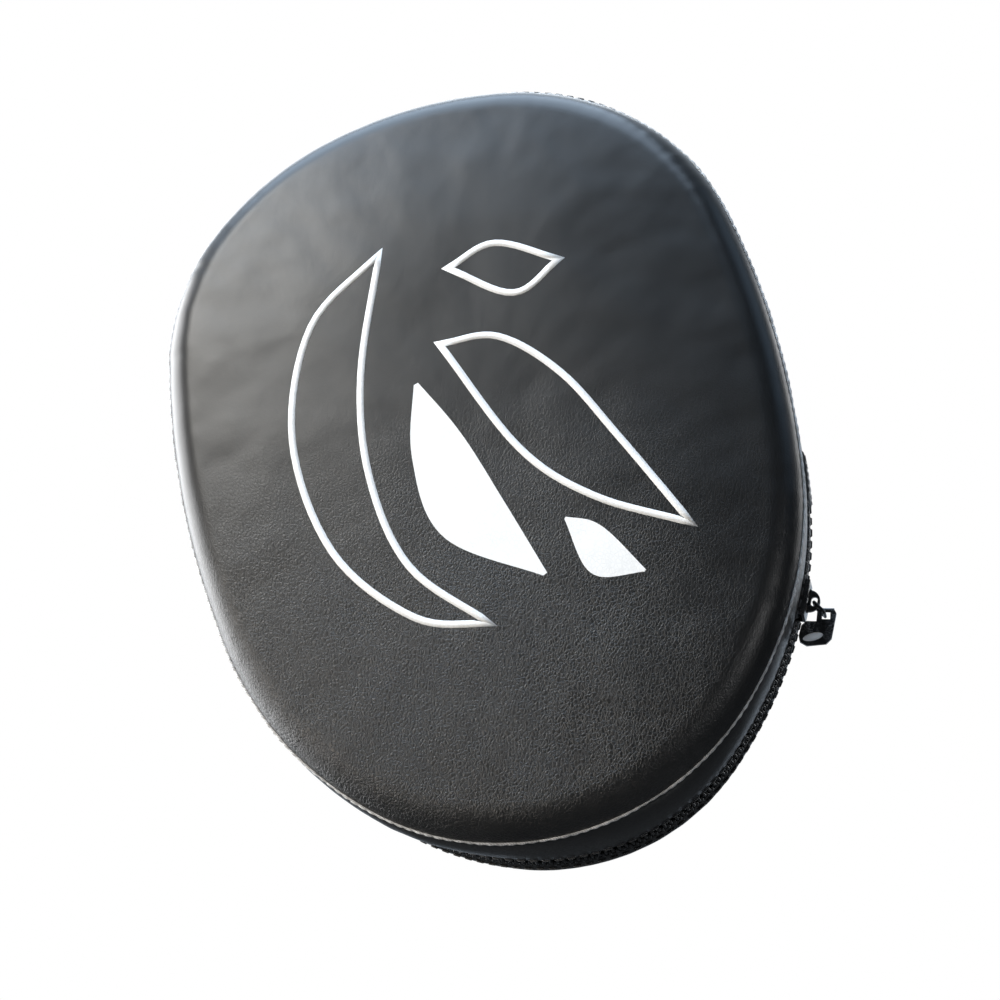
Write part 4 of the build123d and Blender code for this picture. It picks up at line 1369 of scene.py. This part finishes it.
def press_seams(ob, pressed):
    """Subdivides a pad and moves its surface to depth pressed(x, v, z)."""
    sub = ob.modifiers.new("sub", "SUBSURF")
    sub.levels = sub.render_levels = 2
    bake_modifiers(ob)
    x, v, z = to_rear(coords(ob.data)).T
    set_coords(ob.data, rear_pt(x, pressed(x, v, z), z))
    ob.data.update()
    bpy.context.view_layer.update()


def groove(distance, depth, width):
    return depth * np.exp(-(distance / width) ** 2)


def on_pad(ob, x, z):
    """Points on a pad's outer surface over rear-frame x and z."""
    v = []
    for a, c in zip(x, z):
        hit, place, _, _ = ob.ray_cast(Vector(rear_pt(a, 80.0, c)), Vector(-REAR_OUT))
        v.append(to_rear(np.array([place]))[0][1] if hit else FOOT)
    return rear_pt(x, np.array(v), z)


def welt(name, x, z, half_x, half_z, corner, radius, v, seed):
    """Piping round the foot of a pad, with a sewn margin."""
    path = round_corners = []
    for sx, sz, start in ((1, 1, 0), (-1, 1, 90), (-1, -1, 180), (1, -1, 270)):
        for k in range(15):
            a = math.radians(start + 90 * k / 14)
            round_corners.append((x + sx * (half_x - corner) + corner * math.cos(a),
                                  z + sz * (half_z - corner) + corner * math.sin(a)))
    path = resample(round_corners, 160, closed=True)
    out = -normals2(path, closed=True)
    piece = Piece()
    piece.sweep(lay(path, v), REAR_OUT, circle(radius, 10), closed=True)
    piece.margin(path, out, -0.5, 4.0, 0.95, closed=True)
    piece.stitch(lay(path + out * 2.3, FOOT + 0.78), REAR_OUT, 2.7, 0.9, 0.3, seed=seed,
                 closed=True, mat=1)
    piece.make(name, ["binding", "black_thread"], "hood_leather")


# Palm pad: a rounded rectangle with a sewn ring inside its edge
PALM_X, PALM_Z = 3.5, -23.0
PALM_HALF_X, PALM_HALF_Z = 36.5, 29.0
PALM_CORNER = 16.0
PALM_SEAM = 7.0     # from the edge to the ring


def palm_depth_in(x, z):
    """Distance inside the palm pad's edge, from places relative to its centre."""
    dx = np.abs(x) - (PALM_HALF_X - PALM_CORNER)
    dz = np.abs(z) - (PALM_HALF_Z - PALM_CORNER)
    outside = np.hypot(np.maximum(dx, 0), np.maximum(dz, 0))
    return PALM_CORNER - (outside + np.minimum(np.maximum(dx, dz), 0))


def palm_pressed(x, v, z):
    upper = np.clip((v - 18.0) / 5.0, 0, 1)
    d = palm_depth_in(x - PALM_X, z - PALM_Z)
    return v - upper * groove(d - PALM_SEAM, 1.6, 1.3) + upper * groove(d - PALM_SEAM / 2, 0.5, 2.2)


def palm_pad():
    pad = inflate("palm_pad", limit=3.0, voxel=0.004)
    press_seams(pad, palm_pressed)
    # bisect along each ray for the ring's place
    direction = circle(1.0, 160)
    lo, hi = np.zeros(160), np.full(160, 60.0)
    for _ in range(30):
        mid = (lo + hi) / 2
        inside = palm_depth_in(*(direction * mid[:, None]).T) > PALM_SEAM
        lo, hi = np.where(inside, mid, lo), np.where(inside, hi, mid)
    x, z = PALM_X + direction[:, 0] * lo, PALM_Z + direction[:, 1] * lo
    piece = Piece()
    piece.stitch(on_pad(pad, x, z), REAR_OUT, 3.0, 0.9, 0.33, seed=81, lift=0.2, closed=True)
    piece.make("palm_pad_stitching", ["black_thread"], "black_thread")
    welt("palm_pad_welt", PALM_X, PALM_Z, PALM_HALF_X + 0.5, PALM_HALF_Z + 0.5, PALM_CORNER + 0.5,
         radius=1.1, v=FOOT + 0.9, seed=83)


WRIST_CHANNELS = (-69.5, -79.5)     # z of the sewn channels


def wrist_pressed(x, v, z):
    upper = np.clip((v - 18.0) / 3.0, 0, 1)
    for channel in WRIST_CHANNELS:
        v = v - upper * groove(z - channel, 1.7, 1.2)
    return v


def wrist_pad():
    pad = inflate("wrist_pad", limit=2.4, voxel=0.0035)
    press_seams(pad, wrist_pressed)
    piece = Piece()
    for channel in WRIST_CHANNELS:
        path = on_pad(pad, np.linspace(-26.5, 26.5, 60), np.full(60, channel))
        piece.stitch(path, REAR_OUT, 3.0, 0.9, 0.3, seed=91, lift=0.2)
    piece.make("wrist_pad_stitching", ["black_thread"], "black_thread")
    welt("wrist_pad_welt", 0.0, -74.5, 28.6, 16.1, 9.5, radius=1.0, v=FOOT + 0.8, seed=93)


palm_pad()
wrist_pad()

# ---------------------------------------------------------------- palm ball
# Four leather gores over a foam dome
BALL_X, BALL_Z = 2.0, -20.0
BALL_R, BALL_FOOT_R = 30.0, 24.0
BALL_V = 24.1                       # foot of the dome
BALL_AXIS_V = BALL_V - math.sqrt(BALL_R ** 2 - BALL_FOOT_R ** 2)
BALL_UNDER_V = 22.6
BALL_N = 144


def ball_v(radius):
    return BALL_AXIS_V + np.sqrt(BALL_R ** 2 - np.minimum(radius, BALL_FOOT_R) ** 2)


def palm_ball():
    t = np.linspace(0, 2 * math.pi, BALL_N, endpoint=False)
    radii = np.concatenate([np.linspace(0.6, 20, 26), [21, 22, 22.8, 23.5, 24.0, 24.2]])
    g = []
    for r in radii:
        from_seam = np.abs(r * np.sin(t * 2 - math.pi / 2) / 2)
        gore = (-0.75 * np.exp(-(from_seam / 0.85) ** 2)
                + 0.35 * (1 - np.exp(-(from_seam / 3.5) ** 2)))
        v = ball_v(r) + gore * min(1.0, (24.3 - r) / 4.0)
        if r == radii[-1]:
            v = BALL_UNDER_V
        g.append(rear_pt(BALL_X + r * np.cos(t), v, BALL_Z + r * np.sin(t)))
    piece = Piece()
    piece.grid(np.stack(g), close_u=True)
    crown_v = BALL_V + BALL_R - (BALL_V - BALL_AXIS_V) - 0.7
    piece.fan(0, BALL_N, rear_pt(BALL_X, crown_v, BALL_Z))
    piece.fan((len(g) - 1) * BALL_N, BALL_N, rear_pt(BALL_X, BALL_UNDER_V, BALL_Z))
    r = np.linspace(2.5, 22.0, 40)
    for quarter in range(4):
        a = math.pi / 4 + quarter * math.pi / 2
        for side in (-1, 1):
            x = r * math.cos(a) - side * 1.5 * math.sin(a)
            z = r * math.sin(a) + side * 1.5 * math.cos(a)
            v = ball_v(r) + 0.05
            piece.stitch(rear_pt(BALL_X + x, v, BALL_Z + z), rear_dir(x, v - BALL_AXIS_V, z),
                         2.4, 0.8, 0.27, seed=100 + quarter * 2 + side, mat=1)
    piece.make("palm_ball_leather", ["hood", "black_thread"], "hood_leather", "palm_ball")

    piece = Piece()
    ring = circle(24.2, 120) + np.array([BALL_X, BALL_Z])
    piece.sweep(lay(ring, 24.5), REAR_OUT, circle(1.0, 10), closed=True)
    piece.make("palm_ball_welt", ["binding"], "hood_leather")


palm_ball()

# ---------------------------------------------------------------- wrist strap
# The strap arches over the wrist; its angles run from +v towards +x
STRAP_AXIS_V = 3.3
STRAP_R = 52.7                      # middle of the strap's thickness
STRAP_IN, STRAP_OUT = STRAP_R - 1.1, STRAP_R + 1.1
STRAP_Z0, STRAP_Z1 = -92.0, -58.0
STRAP_MID, STRAP_HALF = (STRAP_Z0 + STRAP_Z1) / 2, (STRAP_Z1 - STRAP_Z0) / 2
FOLD = -17.1                        # angle where the tail folds


def strap_pt(angle, radius, z):
    t = np.radians(angle)
    return rear_pt(radius * np.sin(t), STRAP_AXIS_V + radius * np.cos(t), z)


def strap_up(angle):
    t = np.radians(angle)
    return rear_dir(np.sin(t), np.cos(t), 0)


def strap_band(piece, start, end, r0, r1, half=STRAP_HALF, step=1.0, round0=0.0, round1=0.0,
               bow=0.25):
    """A flat strap between two angles and radii; round0 and round1 round its end corners."""
    thick, mid_r = r1 - r0, (r0 + r1) / 2
    angles = np.linspace(start, end, max(4, int(abs(end - start) / step) + 1))
    s = np.radians(np.abs(angles - start)) * mid_r
    if round0 or round1:
        shares = np.array((0.0, 0.03, 0.08, 0.16, 0.28, 0.42, 0.6, 0.8, 1.0))
        extra = [shares * round0] if round0 else []
        extra += [s[-1] - shares * round1] if round1 else []
        s = np.unique(np.round(np.concatenate([s, *extra]), 5))
        angles = start + np.sign(end - start) * np.degrees(s / mid_r)
    width = np.full(len(s), half)
    for corner, d in ((round0, s), (round1, s[-1] - s)):
        if corner:
            cut = corner - np.clip(d, 0, corner)
            cut = np.sqrt(np.clip(corner * corner - cut ** 2, 0, None))
            width = np.minimum(width, half - corner + cut)
    edge_r = min(thick * 0.48, 1.0)
    near = np.array([0.0, 0.35, 0.75, 1.0, 1.6, 4.0])       # stations from one edge
    across = np.concatenate([near, np.linspace(8, 2 * half - 8, 7), 2 * half - near[::-1]])
    across = across / (2 * half) * 2 - 1
    edge = np.clip((1 - np.abs(across)) * half / edge_r, 0, 1)
    heights = thick / 2 - edge_r + edge_r * np.sqrt(np.clip(1 - (1 - edge) ** 2, 0, 1))
    rows = []
    for c, height in zip(across, heights):
        wave = 0.10 * np.array([noise.noise(Vector((q * 0.07, 7.0, c))) for q in s])
        radius = mid_r + height + bow * (1 - c ** 2) + wave
        rows.append(strap_pt(angles, radius, STRAP_MID + width * c))
    for c, height in list(zip(across, heights))[-2:0:-1]:
        rows.append(strap_pt(angles, mid_r - height, STRAP_MID + width * c))
    piece.grid(np.stack(rows, 1), close_u=True, caps=True)


def strap_stitch(piece, start, end, radius, count, length, gap, thread_r, seed):
    """A straight row of stitches between two (angle, z) places."""
    angles, z = np.linspace(start, end, count).T
    piece.stitch(strap_pt(angles, radius, z), strap_up(angles), length, gap, thread_r, seed=seed,
                 mat=1)


def strap_rows(piece, start, end, radius, half, seed):
    """A row of stitches along each edge of the strap."""
    for i, z in enumerate((STRAP_MID - half, STRAP_MID + half)):
        strap_stitch(piece, (start, z), (end, z), radius, 80, 2.9, 0.9, 0.32, seed + i)


def wrist_strap():
    piece = Piece()
    strap_band(piece, 72.4, FOLD + 3.2, STRAP_IN, STRAP_OUT)
    strap_rows(piece, 70.0, FOLD + 3.6, STRAP_R + 1.22, 14.2, seed=110)
    for i, (a, b) in enumerate(box_lines(69.0, STRAP_MID - 11.0, 56.0, STRAP_MID + 11.0)):
        strap_stitch(piece, a, b, STRAP_R + 1.3, 30, 2.3, 0.8, 0.28, 120 + i)
    ob = piece.make("wrist_strap_webbing", ["strap", "black_thread"], "strap_leather",
                    "wrist_strap", body=None)
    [tuple(strap_pt(a, STRAP_R, STRAP_MID)) for a in (72.6, 64.5)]
    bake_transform(ob)


def strap_tail():
    piece = Piece()
    strap_band(piece, FOLD + 3.0, -66.0, STRAP_IN, STRAP_OUT, step=0.6, round1=9.0)
    strap_rows(piece, FOLD + 2.6, -58.5, STRAP_R + 1.22, 14.2, seed=130)
    for i, a in enumerate((-20.6, -57.8)):
        strap_stitch(piece, (a, STRAP_MID - 14.0), (a, STRAP_MID + 14.0), STRAP_R + 1.35, 30,
                     2.6, 0.9, 0.3, 140 + i)
    ob = piece.make("strap_tail_webbing", ["strap", "black_thread"], "strap_leather",
                    "strap_tail", body=None)
    ends = (tuple(strap_pt(a, STRAP_R, STRAP_MID)) for a in (FOLD + 2.4, FOLD - 2.6))
    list(ends)
    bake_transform(ob)


def tail_grip():
    piece = Piece()
    strap_band(piece, -57.0, -67.0, STRAP_R + 1.15, STRAP_R + 2.6, half=11.0, step=0.8,
               round0=4.0, round1=8.0, bow=0.35)
    z = np.linspace(STRAP_MID - 8.0, STRAP_MID + 8.0, 24)
    for k in range(5):
        angle = -59.0 - 1.5 * k
        piece.sweep(strap_pt(angle, STRAP_R + 2.75, z), strap_up(angle), circle(0.45, 8, 0.8))
    piece.make("tail_pull_grip", ["binding"], "edge_binding", "tail_grip", body="tail")


# A hook from root to tip: strap radius, filament radius, lean
HOOK = ((51.05, 0.20, 0.0), (50.8, 0.17, 0.0), (50.62, 0.15, 0.12), (50.56, 0.10, 0.38))


def hook_strip():
    """A strip with rows of small hooks on its inner side."""
    rng = np.random.default_rng(5)
    piece = Piece()
    strap_band(piece, -22.0, -58.0, 51.0, 51.55, half=15.0, step=1.5, bow=0.0)
    k = np.linspace(0, 2 * math.pi, 5, endpoint=False)
    for angle in np.arange(-23.0, -57.4, -1.75):
        for z in np.arange(STRAP_MID - 13.8, STRAP_MID + 13.9, 1.6):
            t = math.radians(angle + rng.normal() * 0.08)
            z = z + rng.normal() * 0.08
            sin, cos = math.sin(t), math.cos(t)
            g = []
            for radius, wire, lean in HOOK:
                along = lean + wire * np.cos(k)
                g.append(rear_pt(radius * sin + along * cos,
                                 STRAP_AXIS_V + radius * cos - along * sin, z + wire * np.sin(k)))
            piece.grid(np.stack(g), close_u=True, caps=True)
    piece.make("hook_strip", ["hook"], "hook_tape", "hook_patch", body="tail")


def loop_strip():
    """A strip with a napped surface."""
    piece = Piece()
    strap_band(piece, -20.0, -62.0, 49.55, 50.15, half=15.5, step=1.5, bow=0.0)
    first, last, half = -20.3, -61.7, 15.2
    angle, z = np.meshgrid(np.linspace(first, last, 120),
                           np.linspace(STRAP_MID - half, STRAP_MID + half, 90))
    nap = unevenness(angle * 0.9, 0.0, z, size=1.3, seed=8.0)
    from_edge = np.minimum(np.minimum(first - angle, angle - last), half - np.abs(z - STRAP_MID))
    radius = 50.12 + 0.30 * np.clip(0.45 + nap, 0, 1) * np.clip(from_edge / 0.8, 0, 1)
    piece.slab(strap_pt(angle, radius, z), strap_pt(angle, 49.9, z))
    piece.make("loop_strip", ["loop"], "loop_tape", "loop_patch")


def strap_keeper():
    """The strap under the loop strip."""
    piece = Piece()
    strap_band(piece, -18.0, -72.0, 47.3, 49.5, step=1.2, round0=6.0, bow=0.0)
    strap_rows(piece, -19.5, -63.0, 49.62, 16.2, seed=150)
    piece.make("strap_keeper_webbing", ["strap", "black_thread"], "strap_leather", "strap_keeper")


def anchor(node, x0, x1, top, seed):
    """A sewn leather tab on the rear panel: pillowed, with a stitched box and cross."""
    across, along = np.meshgrid(np.linspace(-1, 1, 30), np.linspace(-1, 1, 44))
    mid, half = (x0 + x1) / 2, (x1 - x0) / 2
    box = 0.78      # stitched box, as a share of the tab
    # superellipse plan, so that the corners are round
    round_out = (np.abs(across) ** 7 + np.abs(along) ** 7) ** (1 / 7)
    out = np.maximum(np.abs(across), np.abs(along))
    shrink = np.where(round_out > 1e-9, out / round_out, 1.0)
    x, z = mid + across * shrink * half, STRAP_MID + along * shrink * STRAP_HALF
    edge = np.clip((1 - out) * half / 1.2, 0, 1)
    rise = 0.25 + 0.75 * np.sqrt(np.clip(1 - (1 - edge) ** 2, 0, 1))
    v = FOOT + (top - FOOT) * rise + 0.25 * (1 - out ** 2) - groove(out - box, 0.22, 0.05)
    piece = Piece()
    piece.slab(rear_pt(x, v, z), rear_pt(x, FOOT - 0.1, z))
    for i, line in enumerate(box_lines(-box, -box, box, box)):
        across, along = np.linspace(*line, 30).T
        out = np.maximum(np.abs(across), np.abs(along))
        v = top + 0.25 * (1 - out ** 2) - groove(out - box, 0.16, 0.05)
        path = rear_pt(mid + across * half, v, STRAP_MID + along * STRAP_HALF)
        piece.stitch(path, REAR_OUT, 2.6, 0.85, 0.3, seed=seed + i, mat=1)
    piece.make(node + "_tab", ["strap", "black_thread"], "strap_leather", node)


wrist_strap()
strap_tail()
tail_grip()
hook_strip()
loop_strip()
strap_keeper()
anchor("strap_anchor", 41.0, 60.0, top=18.9, seed=160)
anchor("keeper_anchor", -60.0, -40.0, top=19.2, seed=170)

# ---------------------------------------------------------------- floor, world, lights, camera
# Metres from here on
FLOOR_HALF, FLOOR_Z = 60.0, -0.62
LIGHT_TARGET = Vector((0, 0.02, 0))
# name, direction from the mitt, distance, width, height, power (W), colour
LIGHTS = (
    ("key_left", (-0.91, 0.20, 0.42), 1.7, 1.7, 1.7, 62, (1.0, 0.995, 0.99)),
    ("key_front", (-0.35, -0.70, 0.62), 1.7, 0.6, 0.6, 16.5, (1.0, 0.97, 0.91)),
    ("front_left_low", (-0.66, -0.72, 0.02), 1.7, 0.7, 0.6, 15, (1.0, 0.92, 0.82)),
    ("sky_top", (0.05, -0.30, 0.97), 1.7, 1.8, 1.8, 56, (0.62, 0.79, 1.0)),
    ("side_right", (0.90, -0.10, 0.45), 1.7, 0.8, 0.8, 2.0, (0.50, 0.72, 1.0)),
    ("front_right_low", (0.72, -0.65, -0.30), 1.7, 0.5, 0.5, 4, (1, 1, 1)),
    ("wall_low", (0.35, 0.0, -0.95), 0.6, 0.07, 0.07, 0.05, (1, 1, 1)),
    ("back_top", (-0.10, 0.66, 0.74), 2.0, 1.3, 1.3, 13, (0.88, 0.94, 1.0)),
    ("back_right", (0.80, 0.72, 0.30), 2.0, 1.0, 1.0, 10, (1, 1, 1)),
)
# Camera place and axes
CAMERA_PLACE = Vector((0.0721, -0.6698, -0.3315))
CAMERA_RIGHT = Vector((0.95707275, 0.19744032, -0.21220054))
CAMERA_DOWN = Vector((-0.27425845, 0.3800151, -0.883386))
CAMERA_FORWARD = Vector((-0.09377661, 0.90366246, 0.41785177))


def floor_material():
    """Dark to the light, but an even pale grey to the camera."""
    m = Shader("pale_floor")
    m.set(color=m.mix(m.noise(scale=3.0, detail=4.0), (0.05, 0.05, 0.05), (0.06, 0.06, 0.06)),
          rough=0.9, spec=0.1)
    pale = m.node("ShaderNodeEmission", {0: (0.70, 0.70, 0.70, 1), 1: 1.0})
    seen = m.node("ShaderNodeLightPath").outputs["Is Camera Ray"]
    nothing = m.node("ShaderNodeEmission", {1: 0.0})
    glow = m.node("ShaderNodeMixShader", {0: seen, 1: nothing.outputs[0], 2: pale.outputs[0]})
    both = m.node("ShaderNodeAddShader", {0: m.bsdf.outputs[0], 1: glow.outputs[0]})
    m.put(m.out.inputs[0], both.outputs[0])
    return m.mat


def make_floor():
    material = floor_material()
    me = bpy.data.meshes.new("floor")
    corners = ((-1, -1), (1, -1), (1, 1), (-1, 1))
    me.from_pydata([(x * FLOOR_HALF, y * FLOOR_HALF, FLOOR_Z) for x, y in corners], [],
                   [(0, 1, 2, 3)])
    me.materials.append(material)
    floor = bpy.data.objects.new("floor", me)
    SCENE.collection.objects.link(floor)


def make_world():
    """The camera sees white; all else sees a soft sky, brightest above and behind."""
    world = bpy.data.worlds.new("studio")
    SCENE.world = world
    n = Nodes(world)
    out = n.node("ShaderNodeOutputWorld")
    seen = n.node("ShaderNodeLightPath").outputs["Is Camera Ray"]
    white = n.node("ShaderNodeBackground", {0: (1, 1, 1, 1), 1: 1.0}).outputs[0]
    view = n.node("ShaderNodeTexCoord").outputs["Generated"]
    brightest = Vector((-0.25, 0.75, 0.60)).normalized()
    facing = n.node("ShaderNodeVectorMath", {0: view, 1: brightest}, operation="DOT_PRODUCT")
    strength = n.remap(facing.outputs["Value"], src=(0.1, 1.0), to=(0.02, 1.1), curve="SMOOTHSTEP")
    sky = n.node("ShaderNodeBackground", {0: (0.74, 0.86, 1.0, 1), 1: strength}).outputs[0]
    mix = n.node("ShaderNodeMixShader", {0: seen, 1: sky, 2: white})
    n.put(out.inputs[0], mix.outputs[0])


def softbox(name, direction, distance, width, height, power, colour):
    light = bpy.data.lights.new(name, "AREA")
    light.shape = "RECTANGLE"
    light.size, light.size_y = width, height
    light.energy, light.color = power, colour
    ob = bpy.data.objects.new(name, light)
    SCENE.collection.objects.link(ob)
    ob.location = LIGHT_TARGET + Vector(direction).normalized() * distance
    ob.rotation_mode = "QUATERNION"
    ob.rotation_quaternion = (LIGHT_TARGET - ob.location).to_track_quat("-Z", "Y")
    ob.visible_camera = False


def make_camera():
    data = bpy.data.cameras.new("camera")
    camera = bpy.data.objects.new("camera", data)
    SCENE.collection.objects.link(camera)
    SCENE.camera = camera
    data.sensor_width = 36.0
    data.lens = 89.28
    data.clip_start, data.clip_end = 0.01, 50
    place = Matrix((CAMERA_RIGHT, -CAMERA_DOWN, -CAMERA_FORWARD)).transposed().to_4x4()
    place.translation = CAMERA_PLACE
    camera.matrix_world = place


make_floor()
make_world()
for row in LIGHTS:
    softbox(*row)
make_camera()
SCENE.view_settings.view_transform = "Standard"
SCENE.view_settings.look = "None"
